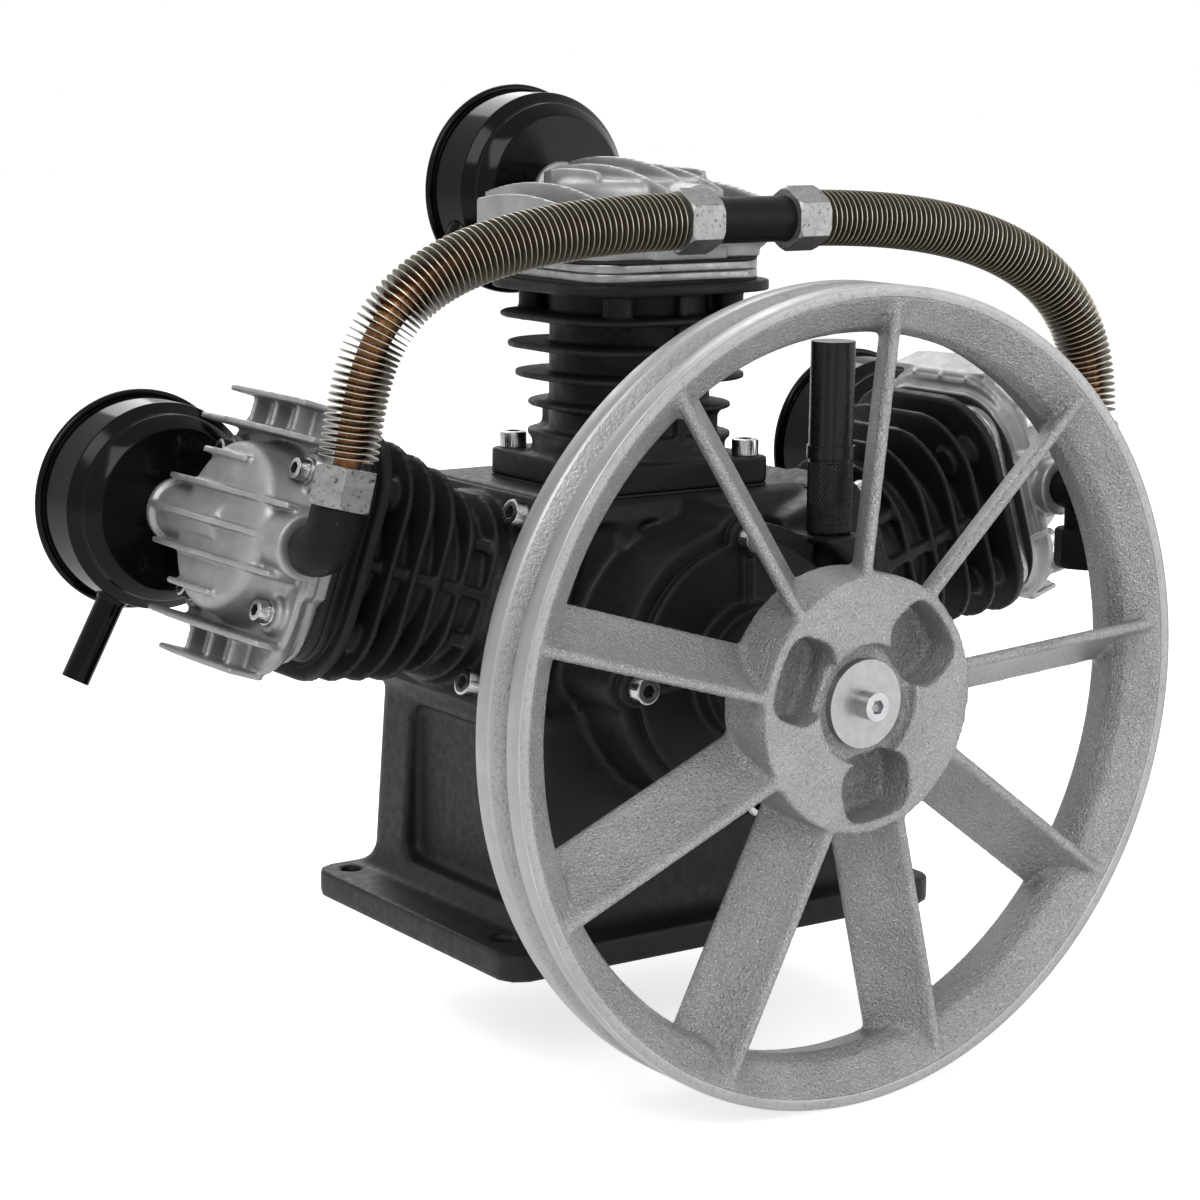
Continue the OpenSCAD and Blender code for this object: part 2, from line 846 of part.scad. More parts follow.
// Ball bearing races with a groove for the balls
module race(outer, inner, y, w, ball_circle_r) {
    difference() {
        ring_y(outer, inner, y, y + w);
        translate([0, y + w / 2, 0]) rotate([90, 0, 0]) rotate_extrude()
            translate([ball_circle_r, 0]) circle(ball_d / 2 + ball_gap);
    }
}

module ball_set(y, w, ball_circle_r) {
    translate([0, y + w / 2, 0]) {
        difference() {
            ring_y(ball_circle_r + cage_t, ball_circle_r - cage_t, -cage_w / 2, cage_w / 2);
            for (k = [0:balls - 1]) {
                p = polar(ball_circle_r, k * 360 / balls);
                translate([p[0], 0, p[1]]) sphere(ball_d / 2 + ball_gap / 2);
            }
        }
        for (k = [0:balls - 1]) {
            p = polar(ball_circle_r, k * 360 / balls);
            translate([p[0], 0, p[1]]) sphere(ball_d / 2);
        }
    }
}

function front_ball_r() = (front_bearing_d + journal_d) / 4;
function rear_ball_r() = (rear_bearing_d + rear_journal_d) / 4;

module front_bearing_outer_ring() {
    color("#c9ccd0") crank_axis()
        race(front_bearing_d / 2, front_bearing_d / 2 - race_t, bearing_front(), front_bearing_w, front_ball_r());
}

module front_bearing_inner_ring() {
    color("#c9ccd0") crank_axis()
        race(journal_d / 2 + race_t, journal_d / 2, bearing_front(), front_bearing_w, front_ball_r());
}

module front_bearing_balls() {
    color("#dfe1e3") crank_axis() ball_set(bearing_front(), front_bearing_w, front_ball_r());
}

module rear_bearing() {
    color("#c9ccd0") crank_axis() {
        wall = (rear_bearing_d - rear_journal_d) / 8;
        race(rear_bearing_d / 2, rear_bearing_d / 2 - wall, rear_bearing_y, rear_bearing_w, rear_ball_r());
        race(rear_journal_d / 2 + wall, rear_journal_d / 2, rear_bearing_y, rear_bearing_w, rear_ball_r());
        ball_set(rear_bearing_y, rear_bearing_w, rear_ball_r());
    }
}

// Crankshaft: the nose and front journal turn, the throw stands at rest
function nose_end() = -wheel_front + hub_recess_depth + nose_short;
function hub_back() = -wheel_front + hub_boss_back;

module crankshaft() {
    color("#a7a9ac") crank_axis() difference() {
        union() {
            disc_y(nose_d / 2, nose_end(), hub_back() + bite);
            disc_y(seal_shaft_d / 2, hub_back(), bearing_front() + bite);
            disc_y(journal_d / 2, bearing_front(), front_bearing_y + bite);
            disc_y(collar_d / 2, front_bearing_y, throw_front_y - face_gap);
        }
        disc_y(m8[0] / 2 + set_gap, nose_end() - cut, nose_end() + wheel_grip);
        key_slot(set_gap / 2);
    }
}

// Room of the key, grown by g
module key_slot(g) {
    translate([-key_w / 2 - g, -wheel_front + key_front - g, nose_d / 2 - key_sink - g])
        cube([key_w + 2 * g, key_l + 2 * g, key_h + 2 * g]);
}

module web_outline() {
    translate([0, crank_r]) circle(crank_pin_d / 2 + big_end_wall);
    circle(d = collar_d);
    translate([-web_w / 2, 0]) square([web_w, crank_r]);
    intersection() {
        circle(counterweight_r);
        translate([-counterweight_w / 2, -counterweight_r]) square([counterweight_w, counterweight_r]);
    }
}

module web_at(y) {
    translate([0, y + web_t, 0]) rotate([90, 0, 0]) linear_extrude(web_t) web_outline();
}

module crank_throw() {
    color("#a7a9ac") crank_axis() {
        web_at(throw_front_y);
        web_at(rear_web_y);
        translate([0, 0, crank_r]) disc_y(crank_pin_d / 2, front_web_y - bite, rear_web_y + bite);
        disc_y(rear_collar_d / 2, rear_web_y + web_t - bite, rear_bearing_y);
        disc_y(rear_journal_d / 2, rear_bearing_y - bite, rear_bearing_y + rear_bearing_w);
    }
}

// Connecting rods, drawn from the crank pin to the gudgeon pin
function rod_angle(i) = asin(crank_r * sin(bank_turn[i]) / rod_length[i]);

module rod_frame(i) {
    translate([0, rod_y[i], crank_height + crank_r]) rotate([0, bank_turn[i] + rod_angle(i), 0]) children();
}

module rod(i) {
    big_r = crank_pin_d / 2 + big_end_wall;
    small_r = gudgeon_d / 2 + small_end_wall;
    color("#b4b6b8") rod_frame(i) difference() {
        union() {
            disc_y(big_r, -big_end_w / 2, big_end_w / 2);
            translate([0, 0, rod_length[i]]) disc_y(small_r, -small_end_w / 2, small_end_w / 2);
            translate([0, rod_web_t / 2, 0]) rotate([90, 0, 0]) linear_extrude(rod_web_t)
                polygon([[-big_r, 0], [big_r, 0], [rod_waist / 2, big_r * rod_neck_share], [rod_waist / 2, rod_length[i]],
                    [-rod_waist / 2, rod_length[i]], [-rod_waist / 2, big_r * rod_neck_share]]);
        }
        disc_y(crank_pin_d / 2 + run_gap, -big_end_w, big_end_w);
        translate([0, 0, rod_length[i]]) disc_y(gudgeon_d / 2 + run_gap, -small_end_w, small_end_w);
    }
}

module piston(i) {
    pin_y = rod_y[i] - bank_y[i];
    gap = small_end_w / 2 + throw_clear;
    color("#c3c5c7") bank(i) translate([0, 0, pin_s[i]]) difference() {
        union() {
            difference() {
                translate([0, 0, pin_drop - piston_len]) cylinder(r = piston_r, h = piston_len);
                translate([0, 0, pin_drop - piston_len - cut])
                    cylinder(r = piston_r - skirt_t, h = piston_len - crown_t + cut);
            }
            intersection() {
                translate([0, 0, pin_drop - piston_len]) cylinder(r = piston_r - bite, h = piston_len);
                disc_y(gudgeon_d / 2 + pin_boss_t, -piston_r, piston_r);
            }
        }
        translate([-piston_r, pin_y - gap, -piston_len]) cube([2 * piston_r, 2 * gap, piston_len + pin_drop - crown_t]);
        disc_y(gudgeon_d / 2, -piston_r - cut, piston_r + cut);
        for (k = [0:rings - 1]) ring_groove(k, 0);
    }
}

// Groove of a piston ring below the crown, or the ring itself when it is shrunk by g
module ring_groove(k, g) {
    z = pin_drop - crown_t / 2 - k * ring_pitch;
    translate([0, 0, z - ring_w + g]) difference() {
        cylinder(r = piston_r + (g > 0 ? 0 : cut), h = ring_w - 2 * g);
        translate([0, 0, -cut]) cylinder(r = piston_r - ring_depth + g, h = ring_w + 2 * cut);
    }
}

module piston_rings() {
    color("#6f7173") for (i = [LEFT:RIGHT]) bank(i) translate([0, 0, pin_s[i]])
        for (k = [0:rings - 1]) ring_groove(k, run_gap);
}

module gudgeon_pins() {
    half = piston_r - skirt_t / 2;
    color("#8f9194") for (i = [LEFT:RIGHT]) bank(i) translate([0, 0, pin_s[i]])
        ring_y(gudgeon_d / 2, gudgeon_d / 4, -half, half);
}

// Cylinders
function fin_z(k) = cylinder_height - deck_plate_t + fin_t - k * fin_pitch;

module cylinder_fins() {
    plate(fin_half_u, fin_half_v, fin_corner, cylinder_height - deck_plate_t, cylinder_height);
    for (k = [1:long_fins])
        plate(fin_half_u - k * fin_step, fin_half_v - k * fin_step, fin_corner, fin_z(k) - fin_t, fin_z(k));
    for (k = [long_fins + 1:long_fins + short_fins])
        plate(short_fin_half, short_fin_half - fin_t / 2, fin_corner, fin_z(k) - fin_t, fin_z(k));
}

// Upright ribs on the front and rear of the barrel
module cylinder_ribs() {
    long_half = fin_half_v - long_fins * fin_step - rib_set_in;
    translate([-rib_t / 2, -long_half, 0]) cube([rib_t, 2 * long_half, cylinder_height - deck_plate_t + bite]);
    for (s = [-1, 1]) translate([s * pocket_rib_u - rib_t / 2, -pocket_rib_v, 0])
        cube([rib_t, 2 * pocket_rib_v, fin_z(long_fins + 1)]);
}

module barrel(i) {
    low = cyl_gasket_t;
    color("#1f2022") bank(i) translate([0, 0, seat[i]]) difference() {
        union() {
            plate(seat_half, seat_half, foot_corner_r, low, cyl_foot_t);
            cylinder(r = flare_r, h = cyl_foot_t + flare_h);
            cylinder(d = barrel_d, h = cylinder_height);
            cylinder_fins();
            cylinder_ribs();
            corners(head_screw_u, head_screw_v) translate([0, 0, cylinder_height - lug_h]) cylinder(r = lug_r, h = lug_h);
        }
        translate([0, 0, -cut]) cylinder(d = bore_d, h = cylinder_height + 2 * cut);
        translate([0, 0, -cut]) cylinder(r = 2 * seat_half, h = cut + low);
        corners(cyl_screw_spacing, cyl_screw_spacing)
            translate([0, 0, -cut]) {
                cylinder(r = m8[0] / 2 + set_gap, h = cyl_foot_t + 2 * cut);
                translate([0, 0, cyl_foot_t + cut]) cylinder(r = m8[1] / 2 + set_gap, h = flare_h + cut);
            }
        corners(head_screw_u, head_screw_v) translate([0, 0, cylinder_height - lug_h + cut])
            cylinder(r = m6[0] / 2 + set_gap, h = lug_h);
    }
}

module cylinder_gaskets() {
    color("#6b5b45") for (i = [LEFT:RIGHT]) bank(i) difference() {
        plate(seat_half, seat_half, foot_corner_r, seat[i], seat[i] + cyl_gasket_t);
        translate([0, 0, seat[i] - cut]) cylinder(d = bore_d, h = cyl_gasket_t + 2 * cut);
        corners(cyl_screw_spacing, cyl_screw_spacing)
            translate([0, 0, seat[i] - cut]) cylinder(r = m8[0] / 2 + set_gap, h = cyl_gasket_t + 2 * cut);
    }
}

module cylinder_screws() {
    color("#b9bcc0") for (i = [LEFT:RIGHT]) bank(i) corners(cyl_screw_spacing, cyl_screw_spacing)
        translate([0, 0, seat[i] + cyl_foot_t]) socket_screw(m8, cyl_foot_t + m8_grip - bore_clear);
}

// Valve plates
module head_screw_holes(z0, z1) {
    corners(head_screw_u, head_screw_v) translate([0, 0, z0 - cut]) cylinder(r = m6[0] / 2 + set_gap, h = z1 - z0 + 2 * cut);
}

module valve_plates(i) {
    color("#8d8f92") bank(i) translate([0, 0, deck[i]]) for (k = [0:1]) difference() {
        plate(plate_half_u, plate_half_v, plate_corner, plate_z[k] + (k == 0 ? 0 : plate_gap), plate_z[k + 1]);
        head_screw_holes(plate_z[k], plate_z[k + 1]);
        for (s = [-1, 1]) translate([s * valve_hole_u, s * valve_hole_u, plate_z[k] - cut])
            cylinder(r = valve_hole_r, h = plate_t + 2 * cut);
        if (k == 1) reed_slots(2 * run_gap);
    }
}

// Slots for the reeds in the underside of the upper plate, or the reeds themselves when g is zero
module reed_slots(g) {
    for (s = [-1, 1]) translate([s * valve_hole_u, 0, plate_z[1] + (g > 0 ? -cut : reed_lift)])
        linear_extrude(g > 0 ? reed_t + cut + g : reed_t - g) rounded(reed_w / 2 + g, reed_l / 2 + g, reed_corner);
}

module reed_valves() {
    color("#7f8c9a") for (i = [LEFT:RIGHT]) bank(i) translate([0, 0, deck[i]]) reed_slots(0);
}

module head_gaskets() {
    color("#6b5b45") for (i = [LEFT:RIGHT], z = [0, plate_z[2]]) bank(i) translate([0, 0, deck[i] + z]) difference() {
        plate(plate_half_u - gasket_set_in, plate_half_v - gasket_set_in, plate_corner, 0, head_gasket_t);
        translate([0, 0, -cut]) cylinder(r = chamber_r, h = head_gasket_t + 2 * cut);
        head_screw_holes(0, head_gasket_t);
    }
}

// Heads
module head_fin_outline(k) {
    top = head_height * head_fin_height_shares[k];
    front = skirt_half_v * head_fin_front_shares[k];
    rear = skirt_half_v * head_fin_rear_shares[k];
    apex = skirt_half_v * head_fin_apex_shares[k];
    low = skirt_z + skirt_edge;
    lift = top - head_fin_overhang;
    intersection() {
        polygon([[max(front, -body_half_v), low], [front, lift], [front, top], [rear, top], [rear, lift],
            [min(rear, body_half_v), low]]);
        translate([apex, top - head_fin_arc_r]) circle(head_fin_arc_r, $fn = 180);
    }
}

module head_fins() {
    last = len(head_fin_height_shares) - 1;
    for (k = [-last:last]) translate([k * head_fin_pitch - head_fin_t / 2, 0, 0]) rotate([90, 0, 90])
        linear_extrude(head_fin_t) head_fin_outline(abs(k));
}

module cross_webs() {
    outer = 4 * head_fin_pitch;
    for (s = [-1, 1], k = [-1:1])
        translate([s > 0 ? body_half_u - skirt_edge : -outer, k * web_pitch - cross_web_t / 2, skirt_z])
            cube([outer - body_half_u + skirt_edge, cross_web_t, cross_web_top - skirt_z]);
}

module head_outside(reach) {
    plate(plate_half_u, plate_half_v, plate_corner, head_z, skirt_z + bite);
    plate(skirt_half_u - skirt_edge / 2, skirt_half_v - skirt_edge / 2, skirt_corner - skirt_edge / 2, skirt_z,
        skirt_z + skirt_h);
    plate(skirt_half_u, skirt_half_v, skirt_corner, skirt_z + skirt_edge / 2, skirt_z + skirt_h - skirt_edge / 2);
    plate(body_half_u, body_half_v, plate_corner, skirt_z, head_body_top - skirt_edge);
    translate([0, dome_v, skirt_z]) {
        cylinder(r1 = dome_r + dome_taper, r2 = dome_r, h = dome_top - dome_taper - skirt_z);
        translate([0, 0, dome_top - dome_taper - skirt_z]) cylinder(r1 = dome_r, r2 = dome_r - dome_taper, h = dome_taper);
    }
    corners(head_screw_u, head_screw_v) translate([0, 0, skirt_z]) cylinder(r = head_boss_r, h = head_body_top - skirt_z);
    translate([0, 0, port_height]) disc_y(port_r, -port_reach, passage_lap);
    translate([0, 0, neck_height]) {
        disc_y(neck_r, -passage_lap, reach);
        disc_y(neck_ring_r, reach - neck_ring_w, reach);
    }
    head_fins();
    cross_webs();
}

module head_hollow(reach) {
    difference() {
        translate([0, 0, head_z - cut]) cylinder(r = chamber_r, h = chamber_top - head_z + cut);
        translate([-chamber_r, -chamber_rib / 2, head_z - 2 * cut]) cube([2 * chamber_r, chamber_rib, chamber_top]);
    }
    translate([0, 0, port_height]) {
        disc_y(port_bore_d / 2, -port_reach - cut, -chamber_rib);
        disc_y(nipple_d / 2 + set_gap, -port_reach - cut, -port_reach + nipple_grip + set_gap);
    }
    translate([0, 0, neck_height]) disc_y(neck_bore_d / 2, chamber_rib, reach + cut);
}

module head(i) {
    color("#a3a5a8") bank(i) translate([0, 0, deck[i]]) difference() {
        head_outside(neck_reach[i]);
        head_hollow(neck_reach[i]);
        head_screw_holes(head_z, head_body_top);
        corners(head_screw_u, head_screw_v) translate([0, 0, head_body_top])
            cylinder(r = washer6_r + set_gap, h = head_height);
    }
}

// Head screws with their washers
module head_screws() {
    color("#c4c6c9") for (i = [LEFT:RIGHT]) bank(i) translate([0, 0, deck[i] + head_body_top])
        corners(head_screw_u, head_screw_v) {
            difference() {
                cylinder(r = washer6_r, h = washer6_t);
                translate([0, 0, -cut]) cylinder(r = m6[0] / 2 + set_gap, h = washer6_t + 2 * cut);
            }
            translate([0, 0, washer6_t]) socket_screw(m6, washer6_t + head_body_top + lug_h - 2 * cut - throw_clear);
        }
}

// Intake filters, drawn with z along the drum from its front face
module at_filter(i) {
    bank(i) translate([0, neck_reach[i], deck[i] + neck_height]) rotate([-90, 0, 0])
        rotate([0, 0, -bank_turn[i]]) children();
}

function filter_outline(g) = [
    [filter_face_r - filter_face_round - g, g], [filter_face_r - g, filter_face_round + g],
    [filter_step_r - g, filter_step_z[0] + g], [filter_step_r - g, filter_step_z[1] + g],
    [filter_r - g, filter_step_z[2] + g], [filter_r - g, filter_depth]];

module inlet_pipe(i, r, start) {
    rotate([0, 0, pipe_turn[i]]) translate([pipe_side[i], 0, pipe_z]) rotate([-90, 0, 0])
        translate([0, 0, start]) cylinder(r = r, h = filter_r + inlet_length - start);
}

module filter_housing(i) {
    outer = filter_outline(0);
    inner = filter_outline(sheet_t);
    last = len(inner) - 1;
    color("#151517") at_filter(i) difference() {
        union() {
            rotate_extrude() {
                polygon(concat([[0, 0]], outer, [for (k = [last:-1:0]) inner[k]], [[0, sheet_t]]));
                translate([filter_rim_r - rim_wire_r, filter_depth]) circle(rim_wire_r, $fn = 24);
                translate([filter_r - sheet_t, filter_depth - rim_wire_r])
                    square([filter_rim_r - rim_wire_r - filter_r + sheet_t, rim_wire_r]);
            }
            translate([0, 0, -spigot_l]) cylinder(d = neck_bore_d - 2 * set_gap, h = spigot_l + sheet_t);
            difference() {
                inlet_pipe(i, inlet_d / 2, filter_step_r);
                cylinder(r = filter_r - sheet_t, h = filter_depth);
            }
        }
        translate([0, 0, -spigot_l - cut])
            cylinder(d = neck_bore_d - 2 * set_gap - 2 * sheet_t, h = spigot_l + sheet_t + 2 * cut);
        inlet_pipe(i, inlet_d / 2 - sheet_t, filter_step_r - sheet_t);
        rotate([0, 0, pipe_turn[i]]) translate([pipe_side[i], 0, pipe_z]) rotate([-90, 0, 0])
            translate([0, 0, filter_r]) cylinder(r = inlet_d / 2 - sheet_t, h = inlet_length + cut);
    }
}

module filter_covers() {
    color("#151517") for (i = [LEFT:RIGHT]) at_filter(i) translate([0, 0, filter_depth]) rotate_extrude()
        polygon([[0, cover_dish], [cover_dish_r, cover_dish], [filter_r - 2 * sheet_t, 0],
            [filter_rim_r - 2 * rim_wire_r - set_gap, 0], [filter_rim_r - 2 * rim_wire_r - set_gap, sheet_t],
            [filter_r - 2 * sheet_t, sheet_t], [cover_dish_r, cover_dish + sheet_t], [0, cover_dish + sheet_t]]);
}

module filter_elements() {
    color("#c9b98f") for (i = [LEFT:RIGHT]) at_filter(i) difference() {
        translate([0, 0, filter_step_z[2] + sheet_t]) cylinder(r = element_r, h = filter_depth - filter_step_z[2] - sheet_t);
        cylinder(r = element_bore_r, h = filter_depth + cut);
    }
}

// Fittings, drawn at the face of a discharge port with the axes of the pump
module at_port(i) {
    bank(i) translate([0, -port_reach, deck[i] + port_height]) rotate([0, -bank_turn[i], 0]) children();
}

function port_point(i) = [
    (deck[i] + port_height) * sin(bank_turn[i]), bank_y[i] - port_reach,
    crank_height + (deck[i] + port_height) * cos(bank_turn[i])];

function fitting_reach(i) = [elbow_reach, tee_reach, side_reach][i];
function arm_length(i) = i == LEFT ? elbow_arm_l : arm_l;

module port_nipples() {
    color("#1c1c1e") for (i = [LEFT:RIGHT]) at_port(i)
        ring_y(nipple_d / 2, fitting_bore_d / 2, -stub_gap - nipple_grip / 2, nipple_grip);
}

// Stub of a fitting that the nipple screws into
module fitting_stub(i) {
    disc_y(fitting_d / 2, -fitting_reach(i), -stub_gap);
}

module stub_bore(i) {
    disc_y(fitting_bore_d / 2, -fitting_reach(i), -stub_gap + cut);
    disc_y(nipple_d / 2 + set_gap, -stub_gap - nipple_grip / 2 - set_gap, -stub_gap + cut);
}

module elbow_left() {
    r = elbow_d / 2;
    straight = elbow_arm_l - elbow_bend_r;
    color("#1a1a1b") at_port(LEFT) rotate([0, elbow_lean, 0]) difference() {
        union() {
            disc_y(r, elbow_bend_r - elbow_reach, -stub_gap);
            translate([0, elbow_bend_r - elbow_reach, elbow_bend_r]) mirror([0, 1, 0]) rotate([0, 90, 0])
                rotate_extrude(angle = 90) translate([elbow_bend_r, 0]) circle(r);
            translate([0, -elbow_reach, elbow_bend_r]) {
                cylinder(r = r, h = straight);
                cylinder(d = nipple_d, h = straight + nut_grip);
            }
        }
        stub_bore(LEFT);
        translate([0, -elbow_reach, 0]) cylinder(d = fitting_bore_d, h = elbow_arm_l + tube_nut_l);
    }
}

module tee_centre() {
    color("#1a1a1b") at_port(CENTRE) difference() {
        union() {
            disc_y(nipple_d / 2 + sheet_t, -tee_reach, -stub_gap);
            translate([-tee_length / 2, -tee_reach, 0]) rotate([0, 90, 0]) cylinder(d = fitting_d, h = tee_length);
            translate([-tee_length / 2 - nut_grip, -tee_reach, 0]) rotate([0, 90, 0])
                cylinder(d = nipple_d, h = tee_length + 2 * nut_grip);
        }
        stub_bore(CENTRE);
        translate([-tee_length, -tee_reach, 0]) rotate([0, 90, 0]) cylinder(d = fitting_bore_d, h = 2 * tee_length);
    }
}

module tee_right() {
    color("#1a1a1b") at_port(RIGHT) difference() {
        union() {
            fitting_stub(RIGHT);
            translate([0, -side_reach, -outlet_neck]) {
                cylinder(d = fitting_d, h = outlet_neck + arm_l);
                cylinder(d = nipple_d, h = outlet_neck + arm_l + nut_grip);
                translate([0, 0, -outlet_l]) hex_nut(outlet_af, outlet_l, outlet_d / 2);
            }
        }
        stub_bore(RIGHT);
        translate([0, -side_reach, -outlet_neck - outlet_l - cut]) {
            cylinder(d = outlet_d, h = outlet_bore_l + cut);
            cylinder(d = fitting_bore_d, h = outlet_l + outlet_neck + arm_l + tube_nut_l);
        }
    }
}

// A nut round the end of a tube, with its face on z = 0
module tube_nut() {
    difference() {
        hex_nut(tube_nut_af, tube_nut_l, tube_d + 2 * nut_bore_gap);
        translate([0, 0, -cut]) cylinder(r = nipple_d / 2 + set_gap, h = nut_grip + cut + set_gap);
    }
}

module tube_nuts() {
    color("#a9aaa6") {
        at_port(CENTRE) for (s = [-1, 1]) translate([s * tee_length / 2, -tee_reach, 0]) rotate([0, s * 90, 0]) tube_nut();
        at_port(LEFT) rotate([0, elbow_lean, 0]) translate([0, -elbow_reach, elbow_arm_l]) tube_nut();
        at_port(RIGHT) translate([0, -side_reach, arm_l]) tube_nut();
    }
}

// Tube routes: a cubic curve from the centre tee's nut to the nut of a side fitting
function tube_start(s) = port_point(CENTRE) + [s * (tee_length + tube_nut_l) / 2, -tee_reach, 0];
function arm_lean(s) = s < 0 ? elbow_lean : 0;
function tube_end(s) = let (i = s < 0 ? LEFT : RIGHT) port_point(i) + [0, -fitting_reach(i), 0]
    + (arm_length(i) + tube_nut_l / 2) * [sin(arm_lean(s)), 0, cos(arm_lean(s))];

function route_handles(s) =
    let (a = tube_start(s), b = tube_end(s), k = s < 0 ? 0 : 1, h = handle_shares[k])
    let (reach = abs(b[0] - a[0]) * h[0], drop = abs(a[2] - b[2]) * h[1])
    [a, a + reach * [s, 0, 0], b + drop * [sin(arm_lean(s)), 0, cos(arm_lean(s))], b];

function route_point(p, t) = pow(1 - t, 3) * p[0] + 3 * t * pow(1 - t, 2) * p[1]
    + 3 * t * t * (1 - t) * p[2] + pow(t, 3) * p[3];

function route_slope(p, t) = pow(1 - t, 2) * (p[1] - p[0]) + 2 * t * (1 - t) * (p[2] - p[1])
    + t * t * (p[3] - p[2]);

// Running length of the route at each step
function route_lengths(p, i = 1, total = [0]) = i > route_steps ? total :
    route_lengths(p, i + 1, concat(total,
        [total[i - 1] + norm(route_point(p, i / route_steps) - route_point(p, (i - 1) / route_steps))]));

function route_share(lengths, s) = lookup(s, [for (i = [0:route_steps]) [lengths[i], i / route_steps]]);

function unit(v) = v / norm(v);

// One ring of the tube's surface
function tube_ring(p, t, r) =
    let (w = unit(route_slope(p, t)), n = unit(cross(w, [0, 1, 0])), m = cross(w, n))
    [for (a = [0:tube_sides - 1]) route_point(p, t)
        + r * (cos(a * 360 / tube_sides) * n + sin(a * 360 / tube_sides) * m)];

function side_faces(first, flip) = [for (i = [0:tube_steps - 1], a = [0:tube_sides - 1])
    let (b = (a + 1) % tube_sides, low = first + i * tube_sides, high = low + tube_sides)
    each flip ? [[low + a, low + b, high + b], [low + a, high + b, high + a]]
        : [[low + a, high + b, low + b], [low + a, high + a, high + b]]];

function end_faces(out, in, flip) = [for (a = [0:tube_sides - 1]) let (b = (a + 1) % tube_sides)
    each flip ? [[out + a, in + b, in + a], [out + a, out + b, in + b]]
        : [[out + a, in + a, in + b], [out + a, in + b, out + b]]];

module tube(s) {
    p = route_handles(s);
    outer = [for (i = [0:tube_steps]) each tube_ring(p, i / tube_steps, tube_d / 2)];
    inner = [for (i = [0:tube_steps]) each tube_ring(p, i / tube_steps, tube_d / 2 - tube_wall)];
    n = len(outer);
    last = tube_steps * tube_sides;
    color("#8a5a34") polyhedron(concat(outer, inner),
        concat(side_faces(0, false), side_faces(n, true), end_faces(0, n, true), end_faces(last, n + last, false)));
}

module tube_fin_set(s) {
    p = route_handles(s);
    lengths = route_lengths(p);
    margin = tube_nut_l / 2 + fin_margin;
    run = lengths[route_steps] - 2 * margin;
    color("#7c776a") for (k = [0:tube_fins - 1]) {
        t = route_share(lengths, margin + run * k / (tube_fins - 1));
        w = unit(route_slope(p, t));
        translate(route_point(p, t)) rotate([0, acos(w[2]), atan2(w[1], w[0])]) difference() {
            cylinder(d = tube_fin_d, h = tube_fin_t, center = true, $fn = 48);
            cylinder(d = tube_d, h = tube_fin_t + cut, center = true, $fn = 48);
        }
    }
}

// Breather
module breather_base() {
    color("#1b1b1c") translate([boss_x, boss_y, boss_top]) difference() {
        union() {
            cylinder(d = breather_d, h = breather_base_h);
            translate([0, 0, -breather_hole_d / 2]) cylinder(d = breather_hole_d - 2 * set_gap, h = breather_hole_d / 2 + bite);
        }
        translate([0, 0, -breather_hole_d]) cylinder(d = breather_hole_d / 2, h = breather_base_h + 2 * breather_hole_d);
    }
}

module breather_tube() {
    top = breather_h - breather_base_h;
    color("#161617") translate([boss_x, boss_y, boss_top + breather_base_h]) difference() {
        union() {
            cylinder(r = breather_tube_d / 2 + collar_step, h = collar_l);
            cylinder(d = breather_tube_d, h = top);
        }
        translate([0, 0, -cut]) cylinder(d = breather_hole_d, h = top - sheet_t + cut);
        translate([-breather_tube_d, 0, top * vent_height_share]) rotate([0, 90, 0]) cylinder(d = vent_d, h = breather_tube_d);
    }
}

// Oil fittings of the rear wall
module oil_sight_glass() {
    color("#d8c690") translate([sight_x, 0, sight_z]) {
        disc_y(sight_flange_d / 2, case_rear, case_rear + sight_flange_t);
        disc_y(sight_d / 2 - set_gap, case_rear - case_wall, case_rear + bite);
    }
}

module oil_drain_plug() {
    color("#8d8f92") translate([drain_x, 0, drain_z]) {
        disc_y(drain_d / 2 - set_gap, case_rear - case_wall, case_rear + bite);
        translate([0, case_rear, 0]) rotate([-90, 0, 0]) hexagon(drain_af, drain_head_t);
    }
}

// Flywheel, drawn about the crank axis with y from the rim's front face
module at_wheel() {
    translate([0, -wheel_front, crank_height]) children();
}

module rim() {
    r = wheel_d / 2;
    mid = rim_w / 2;
    revolve_y() polygon([
        [r - front_land, 0], [r, 0], [r, mid - groove_w / 2], [r - groove_depth, mid - groove_floor_w / 2],
        [r - groove_depth, mid + groove_floor_w / 2], [r, mid + groove_w / 2], [r, rim_w],
        [rim_slant_r, rim_w], [rim_inner_r, rim_ridge_y], [rim_slant_r, rim_slant_depth]]);
}

// Arched section of a spoke, with its chord along x
module spoke_section(chord) {
    rise = spoke_arch;
    r = (chord * chord / 4 + rise * rise) / (2 * rise);
    t = spoke_t / 2;
    intersection() {
        translate([0, rise / 2 - r]) difference() {
            circle(r + t, $fn = 120);
            circle(r - t, $fn = 120);
        }
        square([chord, 4 * spoke_t], center = true);
    }
    for (s = [-1, 1]) translate([s * chord / 2, -rise / 2]) circle(t);
}

module spoke() {
    chord = (rim_w - spoke_t) / cos(spoke_pitch) - spoke_t / 2;
    translate([0, rim_w / 2, 0]) rotate([0, 90, 0]) rotate([0, 0, 90 - spoke_pitch])
        linear_extrude(wheel_d / 2) spoke_section(chord);
}

module spoke_set() {
    intersection() {
        for (k = [0:spokes - 1]) rotate([0, -spoke_phase - k * 360 / spokes, 0]) spoke();
        difference() {
            revolve_y() polygon([[0, 0], [wheel_d / 2 - front_land, 0], [spoke_rim_r, rim_slant_depth],
                [spoke_rim_r, rim_w], [0, rim_w]]);
            disc_y(nose_d, -cut, rim_w + cut);
        }
    }
}

